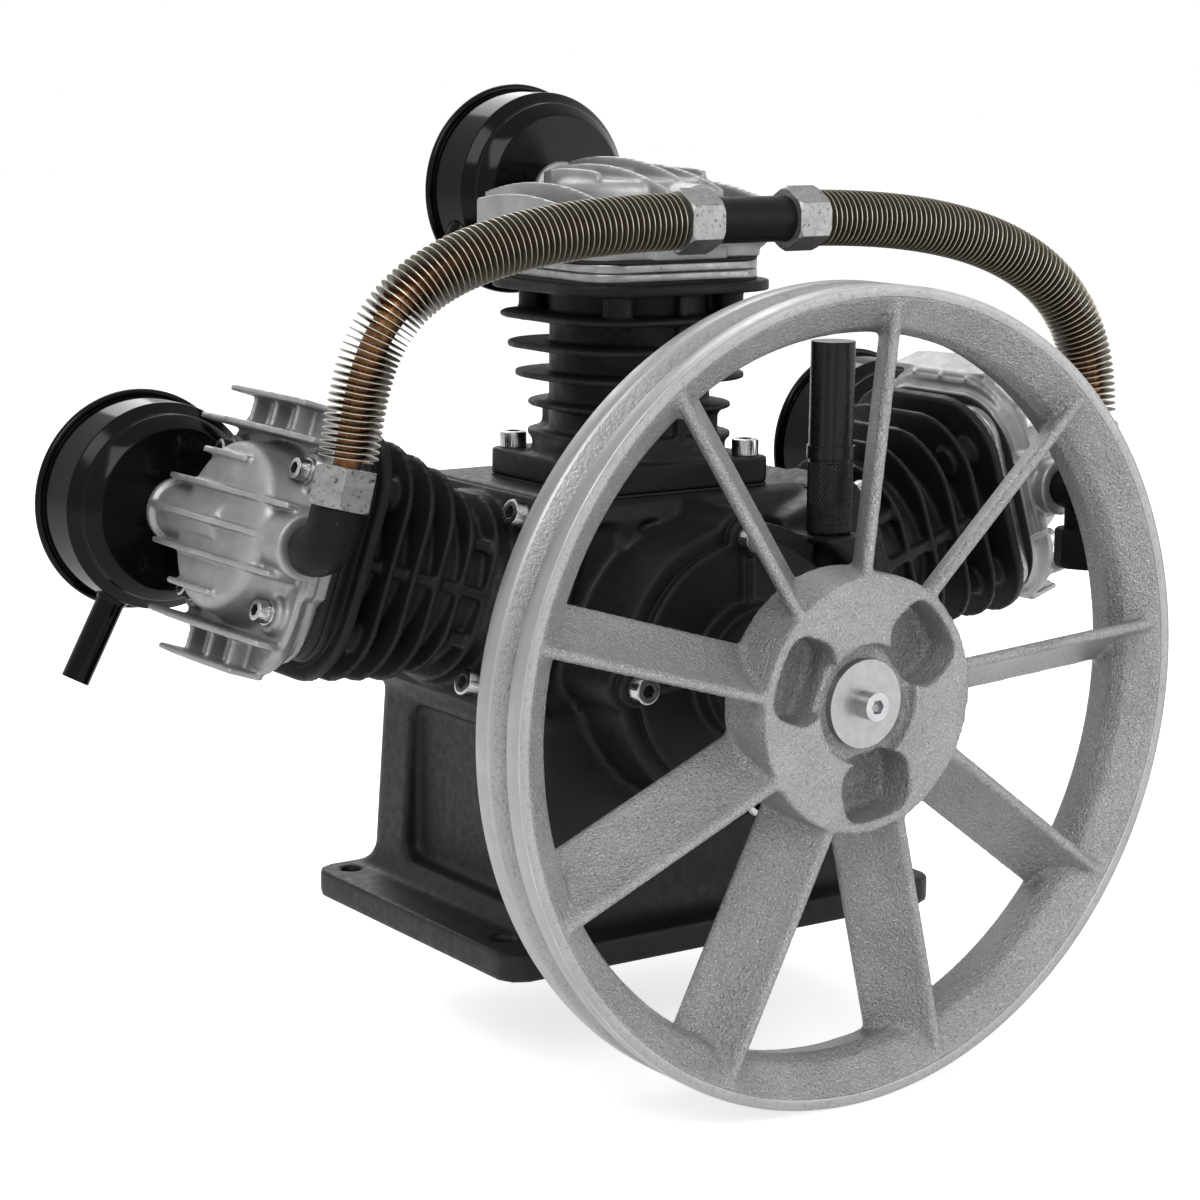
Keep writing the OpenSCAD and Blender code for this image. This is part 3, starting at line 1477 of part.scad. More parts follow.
module hub_cuts() {
    disc_y(hub_recess_r, -cut, hub_recess_depth);
    disc_y(nose_d / 2, -cut, hub_boss_back + cut);
    translate([-key_w / 2 - set_gap, -cut, 0]) cube([key_w + 2 * set_gap, hub_boss_back + 2 * cut, nose_d / 2 - key_sink + key_h + set_gap]);
    for (k = [0:pockets - 1]) rotate([0, -pocket_phase - k * 360 / pockets, 0])
        intersection() {
            translate([pocket_centre_r, pocket_depth, 0]) rotate([90, 0, 0])
                linear_extrude(pocket_depth + cut) rounded(pocket_half_r, pocket_half_w, pocket_corner);
            disc_y(hub_d / 2 - pocket_wall, -cut, pocket_depth);
        }
}

module flywheel() {
    color("#a9aaab") at_wheel() difference() {
        union() {
            rim();
            spoke_set();
            disc_y(hub_d / 2, 0, hub_drum);
            disc_y(hub_boss_d / 2, 0, hub_boss_back);
        }
        hub_cuts();
    }
}

module flywheel_key() {
    color("#7d7f82") crank_axis() key_slot(0);
}

module flywheel_washer() {
    color("#b3b5b6") at_wheel() ring_y(washer_d / 2, m8[0] / 2 + set_gap, hub_recess_depth - washer_t, hub_recess_depth);
}

module flywheel_screw() {
    color("#b9bcc0") at_wheel() translate([0, hub_recess_depth - washer_t, 0]) rotate([90, 0, 0])
        socket_screw(m8, washer_t + nose_short + wheel_grip - throw_clear);
}

crankcase();
front_cover();
front_cover_gasket();
front_cover_screws();
rear_cover();
rear_cover_gasket();
rear_cover_screws();
shaft_seal();
front_bearing_outer_ring();
front_bearing_inner_ring();
front_bearing_balls();
rear_bearing();
crankshaft();
crank_throw();
rod(LEFT);  // connecting_rod_left
rod(CENTRE);  // connecting_rod_centre
rod(RIGHT);  // connecting_rod_right
piston(LEFT);  // piston_left
piston(CENTRE);  // piston_centre
piston(RIGHT);  // piston_right
piston_rings();
gudgeon_pins();
barrel(LEFT);  // cylinder_left
barrel(CENTRE);  // cylinder_centre
barrel(RIGHT);  // cylinder_right
cylinder_gaskets();
cylinder_screws();
valve_plates(LEFT);  // valve_plates_left
valve_plates(CENTRE);  // valve_plates_centre
valve_plates(RIGHT);  // valve_plates_right
reed_valves();
head_gaskets();
head(LEFT);  // head_left
head(CENTRE);  // head_centre
head(RIGHT);  // head_right
head_screws();
filter_housing(LEFT);  // filter_housing_left
filter_housing(CENTRE);  // filter_housing_centre
filter_housing(RIGHT);  // filter_housing_right
filter_covers();
filter_elements();
port_nipples();
elbow_left();
tee_centre();
tee_right();
tube_nuts();
tube(-1);  // tube_left
tube(1);  // tube_right
tube_fin_set(-1);  // tube_fins_left
tube_fin_set(1);  // tube_fins_right
breather_base();
breather_tube();
oil_sight_glass();
oil_drain_plug();
flywheel();
flywheel_key();
flywheel_washer();
flywheel_screw();
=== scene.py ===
"""Looks of a belt-driven three-cylinder air compressor pump head.

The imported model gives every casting, fitting and screw its size and place. This script gives the castings
their rounded edges, winds the fins on the discharge tubes, cuts the knurl of the breather, spins the filter
drums and the flywheel's rim, and finishes every surface with a procedural material. Lengths are millimetres
inside the classes and metres in the meshes that they make.
"""

import json
import logging
import math
from dataclasses import dataclass, field
from enum import Enum
from typing import Callable, Iterable, Sequence

import bmesh
import bpy
from mathutils import Matrix, Vector


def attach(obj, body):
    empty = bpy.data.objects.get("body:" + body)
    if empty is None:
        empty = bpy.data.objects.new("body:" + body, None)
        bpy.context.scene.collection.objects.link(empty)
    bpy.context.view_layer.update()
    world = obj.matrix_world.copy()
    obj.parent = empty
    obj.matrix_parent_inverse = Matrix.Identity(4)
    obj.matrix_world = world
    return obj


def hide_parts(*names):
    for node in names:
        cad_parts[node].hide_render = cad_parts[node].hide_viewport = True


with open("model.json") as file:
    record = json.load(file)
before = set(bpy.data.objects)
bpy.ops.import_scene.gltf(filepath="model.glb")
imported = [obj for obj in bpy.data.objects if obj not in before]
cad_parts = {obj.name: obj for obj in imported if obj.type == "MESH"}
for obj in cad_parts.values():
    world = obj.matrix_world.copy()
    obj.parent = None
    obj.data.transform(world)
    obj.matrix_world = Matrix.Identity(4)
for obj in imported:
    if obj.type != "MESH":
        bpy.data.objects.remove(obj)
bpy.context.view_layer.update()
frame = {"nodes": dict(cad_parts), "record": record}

LOG = logging.getLogger("pump_head")
MM = 0.001
CRANK_HEIGHT = 133.5
WHEEL_FRONT = -194.5
FULL_TURN = 2 * math.pi
PORT_HEIGHT = 32.0
PORT_REACH = 58.0
Colour = tuple[float, float, float]
Socket = bpy.types.NodeSocket


class Side(Enum):
    """The three banks of cylinders, with the numbers of each bank."""

    LEFT = 0
    CENTRE = 1
    RIGHT = 2

    @property
    def word(self) -> str:
        """The bank's name as the nodes spell it."""
        return self.name.lower()

    @property
    def lean(self) -> float:
        """Lean of the bank from upright, in degrees about the crank axis."""
        return (-71.6, 0.0, 71.6)[self.value]

    @property
    def along_crank(self) -> float:
        """Place of the bank along the crank axis."""
        return (-2.5, -7.5, -36.5)[self.value]

    @property
    def seat(self) -> float:
        """Distance of the cylinder's seat from the crank axis."""
        return (88.5, 77.5, 88.5)[self.value]

    @property
    def deck(self) -> float:
        """Distance of the cylinder's deck from the crank axis."""
        return self.seat + 98.5

    @property
    def neck_reach(self) -> float:
        """Reach of the intake neck behind the bore."""
        return (58.0, 63.0, 78.0)[self.value]

    @property
    def frame(self) -> Matrix:
        """Matrix of the bank's frame, in millimetres: z out of the crank axis."""
        return Matrix.Translation((0, self.along_crank, CRANK_HEIGHT)) @ turned("Y", self.lean)

    def at(self, u: float, v: float, s: float) -> Matrix:
        """Matrix of a place in the bank.

        Args:
            u: millimetres across the bank.
            v: millimetres along the crank.
            s: millimetres out of the crank axis.

        Returns:
            The matrix, in millimetres, with the bank's own axes.
        """
        return self.frame @ Matrix.Translation((u, v, s))


def turned(axis: str, degrees: float) -> Matrix:
    """Matrix of a turn about one axis.

    Args:
        axis: "X", "Y" or "Z".
        degrees: the angle by the right-hand rule.

    Returns:
        The 4 by 4 matrix.
    """
    return Matrix.Rotation(math.radians(degrees), 4, axis)


def moved(x: float, y: float, z: float) -> Matrix:
    """Matrix of a move, in millimetres."""
    return Matrix.Translation((x, y, z))


# Materials
class Graph:
    """A material's node tree, with short ways to add and join nodes."""

    def __init__(self, name: str) -> None:
        """Starts an empty material of that name."""
        self.material = bpy.data.materials.new(name)
        self.material.use_nodes = True
        self.tree = self.material.node_tree
        self.tree.nodes.clear()
        self.place = self.add("ShaderNodeTexCoord").outputs["Object"]

    def add(self, kind: str, settings: dict | None = None, **inputs: object) -> bpy.types.Node:
        """Adds a node.

        Args:
            kind: the node's type.
            settings: values of the node's own properties.
            inputs: sockets by name, with spaces written as underscores, or by number as i0, i1.

        Returns:
            The new node.
        """
        node = self.tree.nodes.new(kind)
        for key, value in (settings or {}).items():
            setattr(node, key, value)
        for key, value in inputs.items():
            by_number = key[0] == "i" and key[1:].isdigit()
            socket = node.inputs[int(key[1:])] if by_number else node.inputs[key.replace("_", " ")]
            if isinstance(value, bpy.types.NodeSocket):
                self.tree.links.new(value, socket)
            else:
                socket.default_value = value
        return node

    def noise(self, size_mm: float, detail: float = 3.0, rough: float = 0.55) -> Socket:
        """Noise on the object's own coordinates.

        Args:
            size_mm: size of the largest blobs.
            detail: octaves of finer noise.
            rough: strength of each finer octave.

        Returns:
            The socket of the noise's value, about 0.5 on average.
        """
        settings = {"Vector": self.place, "Scale": 1 / (size_mm * MM), "Detail": detail, "Roughness": rough}
        return self.add("ShaderNodeTexNoise", **settings).outputs["Fac"]

    def radius(self, centre: tuple[float, float]) -> tuple[Socket, Socket]:
        """Distance from an axis along the crank, in metres.

        Args:
            centre: x and z of the axis, in millimetres.

        Returns:
            The socket of the distance and the socket of the place along the axis.
        """
        offset = Vector((-centre[0] * MM, 0.0, -centre[1] * MM))
        near = self.add("ShaderNodeMapping", Vector=self.place, Location=offset).outputs["Vector"]
        split = self.add("ShaderNodeSeparateXYZ", Vector=near)
        across = self.add("ShaderNodeCombineXYZ", X=split.outputs["X"], Z=split.outputs["Z"]).outputs["Vector"]
        length = self.add("ShaderNodeVectorMath", {"operation": "LENGTH"}, i0=across).outputs["Value"]
        return length, split.outputs["Y"]

    def spread(self, value: Socket, low: float, high: float, out_low: float = 0.0, out_high: float = 1.0) -> Socket:
        """Maps a range of a value to another range, clamped.

        Args:
            value: the socket.
            low: value that gives out_low.
            high: value that gives out_high.
            out_low: result at low.
            out_high: result at high.

        Returns:
            The socket of the result.
        """
        ends = {"From_Min": low, "From_Max": high, "To_Min": out_low, "To_Max": out_high}
        return self.add("ShaderNodeMapRange", Value=value, **ends).outputs["Result"]

    def sum(self, operation: str, *values: Socket | float) -> Socket:
        """Result of one step of arithmetic on sockets or numbers."""
        inputs = {f"i{k}": value for k, value in enumerate(values)}
        return self.add("ShaderNodeMath", {"operation": operation}, **inputs).outputs["Value"]

    def blend(self, share: Socket | float, first: Socket | Colour, second: Socket | Colour) -> Socket:
        """Colour between two colours.

        Args:
            share: socket or number, 0 for the first colour.
            first: colour or socket.
            second: colour or socket.

        Returns:
            The socket of the colour.
        """
        node = self.add("ShaderNodeMix", {"data_type": "RGBA"})
        for number, value in ((0, share), (6, first), (7, second)):
            if isinstance(value, bpy.types.NodeSocket):
                self.tree.links.new(value, node.inputs[number])
            elif number == 0:
                node.inputs[0].default_value = value
            else:
                node.inputs[number].default_value = (*value, 1.0)
        return node.outputs[2]

    def edges(self, radius_mm: float, amount: float = 0.12) -> tuple[Socket, Socket]:
        """Mask of the convex and concave edges of a piece.

        Args:
            radius_mm: how far from an edge the mask reaches.
            amount: share of the turn of the surface that counts as a whole edge.

        Returns:
            The socket of the mask and the socket of the rounded normal.
        """
        rounded = self.add("ShaderNodeBevel", {"samples": 4}, Radius=radius_mm * MM).outputs["Normal"]
        flat = self.add("ShaderNodeNewGeometry").outputs["Normal"]
        alike = self.add("ShaderNodeVectorMath", {"operation": "DOT_PRODUCT"}, i0=rounded, i1=flat)
        return self.spread(alike.outputs["Value"], 1.0, 1.0 - amount), rounded

    def bump(self, height: Socket, depth_mm: float, normal: Socket | None = None) -> Socket:
        """Small relief.

        Args:
            height: socket of the height, 0 to 1.
            depth_mm: millimetres that the height stands for.
            normal: socket of the normal below, or None.

        Returns:
            The socket of the changed normal.
        """
        inputs = {"Height": height, "Distance": depth_mm * MM, "Strength": 1.0}
        if normal is not None:
            inputs["Normal"] = normal
        return self.add("ShaderNodeBump", **inputs).outputs["Normal"]

    def surface(self, **inputs: object) -> bpy.types.Material:
        """Closes the material with its surface shader.

        Args:
            inputs: sockets of the shader, as add takes them.

        Returns:
            The finished material.
        """
        shader = self.add("ShaderNodeBsdfPrincipled", **inputs)
        output = self.add("ShaderNodeOutputMaterial")
        self.tree.links.new(shader.outputs["BSDF"], output.inputs["Surface"])
        return self.material


@dataclass(frozen=True)
class Finish:
    """A finish whose grain, tone and edge colour are the same on every piece that wears it; the paler edges are partly
    wear and partly painted highlight.
    """

    name: str
    colour: Colour
    shade: Colour
    metallic: float = 0.0
    roughness: tuple[float, float] = (0.4, 0.6)
    tone_mm: float = 14.0
    grain_mm: float = 1.2
    grain_depth: float = 0.05
    wave_mm: float = 9.0
    wave_depth: float = 0.0
    edge: Colour | None = None
    edge_share: float = 0.5
    edge_mm: float = 0.5
    coat: float = 0.0
    specular: float = 0.5
    speck: Colour | None = None
    speck_mm: float = 2.0
    speck_share: float = 0.3

    def make(self) -> bpy.types.Material:
        """Builds the material."""
        g = Graph(self.name)
        tone = g.spread(g.noise(self.tone_mm, 4, 0.6), 0.3, 0.7)
        colour = g.blend(tone, self.colour, self.shade)
        mask, normal = g.edges(self.edge_mm)
        if self.speck is not None:
            specks = g.spread(g.noise(self.speck_mm, 2, 0.5), 0.5 + 0.5 * (0.5 - self.speck_share), 0.78)
            colour = g.blend(specks, colour, self.speck)
        if self.edge is not None:
            # Paler edges: partly wear, partly painted highlight on rounded edges such as the rims of the fins
            edge_wear_and_highlight = g.sum("MULTIPLY", mask, g.spread(g.noise(3.0, 3, 0.7), 0.62 - 0.3 * self.edge_share, 0.72))
            colour = g.blend(edge_wear_and_highlight, colour, self.edge)
        if self.wave_depth:
            normal = g.bump(g.noise(self.wave_mm, 2, 0.5), self.wave_depth, normal)
        if self.grain_depth:
            normal = g.bump(g.noise(self.grain_mm, 3, 0.65), self.grain_depth, normal)
        rough = g.spread(g.noise(self.tone_mm / 3, 3, 0.6), 0.3, 0.7, *self.roughness)
        return g.surface(
            Base_Color=colour, Metallic=self.metallic, Roughness=rough, Normal=normal,
            Coat_Weight=self.coat, Coat_Roughness=0.06, Specular_IOR_Level=self.specular,
        )


@dataclass(frozen=True)
class Lathed:
    """Bare metal turned about an axis along the crank, with fine tool lines."""

    name: str
    colour: Colour
    roughness: float
    centre: tuple[float, float] = (0.0, CRANK_HEIGHT)
    line_mm: float = 0.35
    line_depth: float = 0.02
    metallic: float = 1.0

    def make(self) -> bpy.types.Material:
        """Builds the material."""
        g = Graph(self.name)
        radius, depth = g.radius(self.centre)
        along = g.add("ShaderNodeCombineXYZ", X=radius, Y=depth)
        pattern = {"Vector": along.outputs["Vector"], "Scale": 1 / (self.line_mm * MM), "Detail": 2}
        lines = g.add("ShaderNodeTexNoise", **pattern).outputs["Fac"]
        tone = g.spread(g.noise(6.0, 3, 0.6), 0.3, 0.7, 0.86, 1.06)
        scaled = g.add("ShaderNodeVectorMath", {"operation": "SCALE"}, i0=self.colour, Scale=tone)
        normal = g.bump(lines, self.line_depth, g.edges(0.4)[1])
        rough = g.spread(lines, 0.3, 0.7, self.roughness * 0.8, self.roughness * 1.25)
        return g.surface(Base_Color=scaled.outputs["Vector"], Metallic=self.metallic, Roughness=rough, Normal=normal)


@dataclass(frozen=True)
class WheelPaint:
    """Silver paint on the flywheel: coarse sand skin inside, machined and chipped on the rim, with painted glints and
    painted shade on the sand skin and a partly painted highlight on the rim's edges.
    """

    name: str = "wheel_silver"
    colour: Colour = (0.33, 0.33, 0.333)
    shade: Colour = (0.26, 0.26, 0.262)
    land_r: float = 184.4
    chip: Colour = (0.10, 0.095, 0.09)
    # Colour of the painted shade in the pits of the sand skin and on the rim's inner face
    pit_shade: Colour = (0.15, 0.15, 0.152)
    # Colour of the painted glints on the grain, and of the rim's edges, where it is partly wear and partly painted
    # highlight
    glint_and_wear: Colour = (0.80, 0.80, 0.81)
    machined: bool = False

    def make(self) -> bpy.types.Material:
        """Builds the material."""
        g = Graph(self.name)
        tone = g.spread(g.noise(26.0, 4, 0.6), 0.3, 0.7)
        colour = g.blend(tone, self.colour, self.shade)
        mask, normal = g.edges(0.7)
        grain = g.noise(1.7, 3, 0.68)
        fine = g.noise(0.85, 2, 0.6)
        if self.machined:
            wall = g.spread(g.radius((0.0, CRANK_HEIGHT))[0], self.land_r * MM, (self.land_r - 0.5) * MM)
            chips = g.spread(g.noise(8.0, 4, 0.72), 0.655, 0.685)
            # Painted shade: the cast inner face of the rim darkened in the pits of its grain
            sand_pit_shade = g.sum("MULTIPLY", wall, g.spread(grain, 0.47, 0.3, 0.0, 0.6))
            colour = g.blend(sand_pit_shade, colour, self.pit_shade)
            knocked = g.sum("MULTIPLY", chips, g.spread(mask, 0.0, 0.4, 0.1, 1.0))
            colour = g.blend(knocked, colour, self.chip)
            # The rim's edges lightened: partly wear, partly painted highlight
            rim_wear_and_highlight = g.sum("MULTIPLY", mask, g.spread(g.noise(30.0, 3, 0.6), 0.4, 0.6, 0.3, 0.9))
            colour = g.blend(rim_wear_and_highlight, colour, self.glint_and_wear)
            normal = g.bump(g.sum("MULTIPLY", wall, grain), 0.3, normal)
            rough = g.spread(g.noise(9.0, 3, 0.6), 0.3, 0.7, 0.36, 0.48)
        else:
            # Painted shade in the pits of the grain, then painted glints on its peaks
            colour = g.blend(g.spread(grain, 0.46, 0.28, 0.0, 0.6), colour, self.pit_shade)
            colour = g.blend(g.spread(fine, 0.56, 0.72, 0.0, 0.55), colour, self.glint_and_wear)
            normal = g.bump(g.noise(6.5, 3, 0.6), 0.35, normal)
            normal = g.bump(grain, 1.2, normal)
            normal = g.bump(fine, 0.35, normal)
            rough = g.spread(fine, 0.3, 0.7, 0.26, 0.42)
        return g.surface(Base_Color=colour, Metallic=0.7, Roughness=rough, Normal=normal)


@dataclass(frozen=True)
class WoundStrip:
    """Tarnished copper strip of the tube fins, with a painted highlight along its outer edge."""

    name: str = "tube_fin_strip"
    root: Colour = (0.34, 0.145, 0.05)
    body: Colour = (0.17, 0.135, 0.09)
    patch: Colour = (0.26, 0.22, 0.15)
    # Pale grey of the painted highlight along the strip's outer edge
    rim: Colour = (0.40, 0.39, 0.33)

    def make(self) -> bpy.types.Material:
        """Builds the material."""
        g = Graph(self.name)
        out = g.add("ShaderNodeAttribute", {"attribute_name": "fin_height"}).outputs["Fac"]
        colour = g.blend(g.spread(out, 0.0, 0.6), self.root, self.body)
        colour = g.blend(g.spread(g.noise(7.0, 3, 0.6), 0.45, 0.75, 0.0, 0.5), colour, self.patch)
        # Painted highlight along the outer edge of the strip
        colour = g.blend(g.spread(out, 0.94, 0.99), colour, self.rim)
        rough = g.spread(g.noise(4.0, 3, 0.6), 0.3, 0.7, 0.32, 0.52)
        normal = g.bump(g.noise(0.8, 2, 0.6), 0.03)
        return g.surface(Base_Color=colour, Metallic=0.75, Roughness=rough, Normal=normal)


FINISHES: dict[str, Finish | Lathed | WheelPaint | WoundStrip] = {
    "black_casting": Finish(
        "black_casting", (0.0085, 0.0086, 0.009), (0.013, 0.013, 0.0135), roughness=(0.42, 0.6), specular=0.22,
        grain_mm=1.3, grain_depth=0.12, wave_mm=9, wave_depth=0.2,
        edge=(0.045, 0.045, 0.044), edge_share=0.45, edge_mm=0.9,
    ),
    "cylinder_iron": Finish(
        "cylinder_iron", (0.008, 0.0081, 0.0084), (0.0125, 0.0125, 0.013), roughness=(0.46, 0.62), specular=0.2,
        grain_mm=1.2, grain_depth=0.1, wave_mm=8, wave_depth=0.16,
        # Pale fin edges: partly wear, partly painted highlight on the fin rims
        edge=(0.05, 0.05, 0.05), edge_share=0.55, edge_mm=0.8,
    ),
    "head_aluminium": Finish(
        "head_aluminium", (0.35, 0.35, 0.354), (0.26, 0.26, 0.264), metallic=0.65, roughness=(0.42, 0.56), tone_mm=18,
        grain_mm=0.8, grain_depth=0.04, wave_mm=11, wave_depth=0.22,
        edge=(0.70, 0.70, 0.71), edge_share=0.7, edge_mm=0.7, speck=(0.12, 0.12, 0.12), speck_mm=1.8, speck_share=0.05,
    ),
    "gasket": Finish(
        "gasket", (0.035, 0.033, 0.03), (0.02, 0.019, 0.018), roughness=(0.7, 0.85), grain_mm=0.5, specular=0.25,
    ),
    "zinc_screw": Finish(
        "zinc_screw", (0.46, 0.465, 0.47), (0.36, 0.365, 0.37), metallic=1.0, roughness=(0.2, 0.28),
        tone_mm=9, grain_mm=0.8, grain_depth=0.004, edge_mm=0.3,
    ),
    "socket_shadow": Finish(
        "socket_shadow", (0.05, 0.05, 0.05), (0.03, 0.03, 0.03), metallic=0.5, roughness=(0.4, 0.6), specular=0.2,
        grain_mm=0.8, grain_depth=0.01,
    ),
    # Valve steel darkened to a painted shade, for the plates of the left bank, which sit in shade
    "plate_painted_shade": Finish(
        "plate_painted_shade", (0.012, 0.012, 0.0125), (0.02, 0.02, 0.0205), roughness=(0.42, 0.6), specular=0.25,
        tone_mm=6, grain_mm=0.9, grain_depth=0.12, edge=(0.12, 0.12, 0.12), edge_share=0.5, edge_mm=0.4,
    ),
    "seal_rubber": Finish(
        "seal_rubber", (0.012, 0.012, 0.012), (0.02, 0.02, 0.02), roughness=(0.6, 0.75),
        grain_mm=0.4, grain_depth=0.02, specular=0.3,
    ),
    "bearing_steel": Finish(
        "bearing_steel", (0.72, 0.73, 0.74), (0.66, 0.67, 0.68), metallic=1.0, roughness=(0.12, 0.2), grain_mm=0.3,
        grain_depth=0.002,
    ),
    "forged_steel": Finish(
        "forged_steel", (0.42, 0.42, 0.43), (0.32, 0.32, 0.33), metallic=1.0, roughness=(0.28, 0.42), grain_mm=0.5,
        grain_depth=0.01,
    ),
    "piston_alloy": Finish(
        "piston_alloy", (0.62, 0.63, 0.64), (0.54, 0.55, 0.56), metallic=1.0, roughness=(0.25, 0.35), grain_mm=0.4,
        grain_depth=0.006,
    ),
    "ring_iron": Finish(
        "ring_iron", (0.3, 0.3, 0.31), (0.24, 0.24, 0.25), metallic=1.0, roughness=(0.3, 0.4),
        grain_mm=0.4, grain_depth=0.004,
    ),
    "valve_steel": Finish(
        "valve_steel", (0.36, 0.36, 0.36), (0.24, 0.24, 0.24), metallic=0.85, roughness=(0.3, 0.48), tone_mm=7,
        grain_mm=0.9, grain_depth=0.05, edge=(0.62, 0.62, 0.62), edge_share=0.6, edge_mm=0.4,
        speck=(0.05, 0.05, 0.05), speck_mm=2.6, speck_share=0.14,
    ),
    "filter_enamel": Finish(
        "filter_enamel", (0.0022, 0.0022, 0.0024), (0.0032, 0.0032, 0.0034), roughness=(0.09, 0.15), specular=0.11,
        grain_mm=2.5, grain_depth=0.01, wave_mm=16, wave_depth=0.04,
    ),
    "filter_paper": Finish(
        "filter_paper", (0.55, 0.5, 0.38), (0.48, 0.43, 0.32), roughness=(0.8, 0.9), grain_mm=0.6,
    ),
    "black_oxide": Finish(
        "black_oxide", (0.006, 0.006, 0.0064), (0.01, 0.01, 0.0104), roughness=(0.38, 0.54), tone_mm=5, specular=0.1,
        grain_mm=1.3, grain_depth=0.2, wave_mm=5, wave_depth=0.2,
        edge=(0.12, 0.12, 0.12), edge_share=0.35, edge_mm=0.5, speck=(0.3, 0.3, 0.3), speck_mm=3.4, speck_share=-0.02,
    ),
    "tube_nut_zinc": Finish(
        "tube_nut_zinc", (0.31, 0.31, 0.302), (0.22, 0.22, 0.212), metallic=0.8, roughness=(0.3, 0.48), tone_mm=5,
        grain_mm=0.8, grain_depth=0.05, edge=(0.74, 0.74, 0.72), edge_share=0.8, edge_mm=0.5,
        speck=(0.045, 0.045, 0.04), speck_mm=2.0, speck_share=0.34,
    ),
    "tube_copper": Finish(
        "tube_copper", (0.30, 0.13, 0.045), (0.11, 0.058, 0.026), metallic=0.8, roughness=(0.28, 0.48), tone_mm=8,
        grain_mm=1.2, grain_depth=0.08,
    ),
    "breather_black": Finish(
        "breather_black", (0.006, 0.006, 0.0064), (0.009, 0.009, 0.0094), roughness=(0.22, 0.34),
        tone_mm=8, specular=0.25, grain_mm=1.6, grain_depth=0.008, edge=(0.07, 0.07, 0.07), edge_share=0.4, edge_mm=0.4,
    ),
    "sight_glass": Finish(
        "sight_glass", (0.55, 0.46, 0.2), (0.5, 0.4, 0.16), roughness=(0.08, 0.14), coat=0.6,
        grain_mm=3, grain_depth=0.004,
    ),
    "turned_zinc": Lathed("turned_zinc", (0.34, 0.342, 0.345), 0.34),
    "wheel_silver": WheelPaint(),
    "wheel_machined": WheelPaint(
        name="wheel_machined", colour=(0.35, 0.35, 0.353), shade=(0.31, 0.31, 0.312), machined=True,
    ),
    "tube_fin": WoundStrip(),
}


class Wardrobe:
    """Makes each finish once and hands it out."""

    def __init__(self) -> None:
        """Starts with nothing made."""
        self.made: dict[str, bpy.types.Material] = {}

    def get(self, name: str) -> bpy.types.Material:
        """The material of one finish, made at its first use."""
        if name not in self.made:
            self.made[name] = FINISHES[name].make()
        return self.made[name]


WARDROBE = Wardrobe()


# Mesh work
def piece(
    bm: bmesh.types.BMesh, name: str, finish: str, body: str, replaces: Sequence[str] = (),
    sharp: float | None = 35.0, inner: Sequence[str] = (),
) -> bpy.types.Object:
    """Turns a finished bmesh, in millimetres, into a piece of the object.

    Args:
        bm: the mesh, which is freed.
        name: name of the piece.
        finish: key of its finish.
        body: the body that it rides on.
        replaces: CAD nodes that it stands for.
        sharp: edges that turn more than this many degrees stay sharp, or None for a wholly smooth piece.
        inner: finishes of the faces that are numbered 1 and up.

    Returns:
        The new object.
    """
    bmesh.ops.recalc_face_normals(bm, faces=bm.faces)
    bmesh.ops.scale(bm, vec=Vector((MM, MM, MM)), verts=bm.verts)
    mesh = bpy.data.meshes.new(name)
    bm.to_mesh(mesh)
    bm.free()
    return dressed(mesh, name, finish, body, replaces, sharp, inner)


def dressed(
    mesh: bpy.types.Mesh, name: str, finish: str, body: str, replaces: Sequence[str], sharp: float | None,
    inner: Sequence[str] = (),
) -> bpy.types.Object:
    """Links a mesh in metres as a piece, with its finish, body and replaced nodes.

    Args:
        mesh: the mesh.
        name: name of the piece.
        finish: key of its finish.
        body: the body that it rides on.
        replaces: CAD nodes that it stands for.
        sharp: angle of the edges that stay sharp, or None.
        inner: finishes of the faces that are numbered 1 and up.

    Returns:
        The new object.
    """
    mesh.polygons.foreach_set("use_smooth", [True] * len(mesh.polygons))
    if sharp is not None:
        mesh.set_sharp_from_angle(angle=math.radians(sharp))
    if mesh.materials:
        mesh.materials.clear()
    for one in (finish, *inner):
        mesh.materials.append(WARDROBE.get(one))
    made = bpy.data.objects.new(name, mesh)
    bpy.context.scene.collection.objects.link(made)
    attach(made, body)
    if replaces:
        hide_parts(*replaces)
    LOG.info("%s: %d faces", name, len(mesh.polygons))
    return made


def add_mesh(bm: bmesh.types.BMesh, other: bmesh.types.BMesh, matrix: Matrix) -> None:
    """Adds a copy of one bmesh to another.

    Args:
        bm: the mesh that grows.
        other: the mesh that is copied and kept.
        matrix: place of the copy.
    """
    copy = bpy.data.meshes.new("copy")
    other.to_mesh(copy)
    copy.transform(matrix)
    if matrix.determinant() < 0:
        copy.flip_normals()
    bm.from_mesh(copy)
    bpy.data.meshes.remove(copy)


def turn_round(bm: bmesh.types.BMesh, geometry: list, steps: int) -> None:
    """Spins geometry once about Z and closes it.

    Args:
        bm: the mesh.
        geometry: its vertices and edges to spin.
        steps: facets round the turn.
    """
    bmesh.ops.spin(
        bm, geom=geometry, cent=Vector(), axis=Vector((0, 0, 1)), dvec=Vector(), angle=FULL_TURN, steps=steps,
        use_merge=True,
    )
    bmesh.ops.remove_doubles(bm, verts=bm.verts, dist=1e-4)
    bmesh.ops.recalc_face_normals(bm, faces=bm.faces)


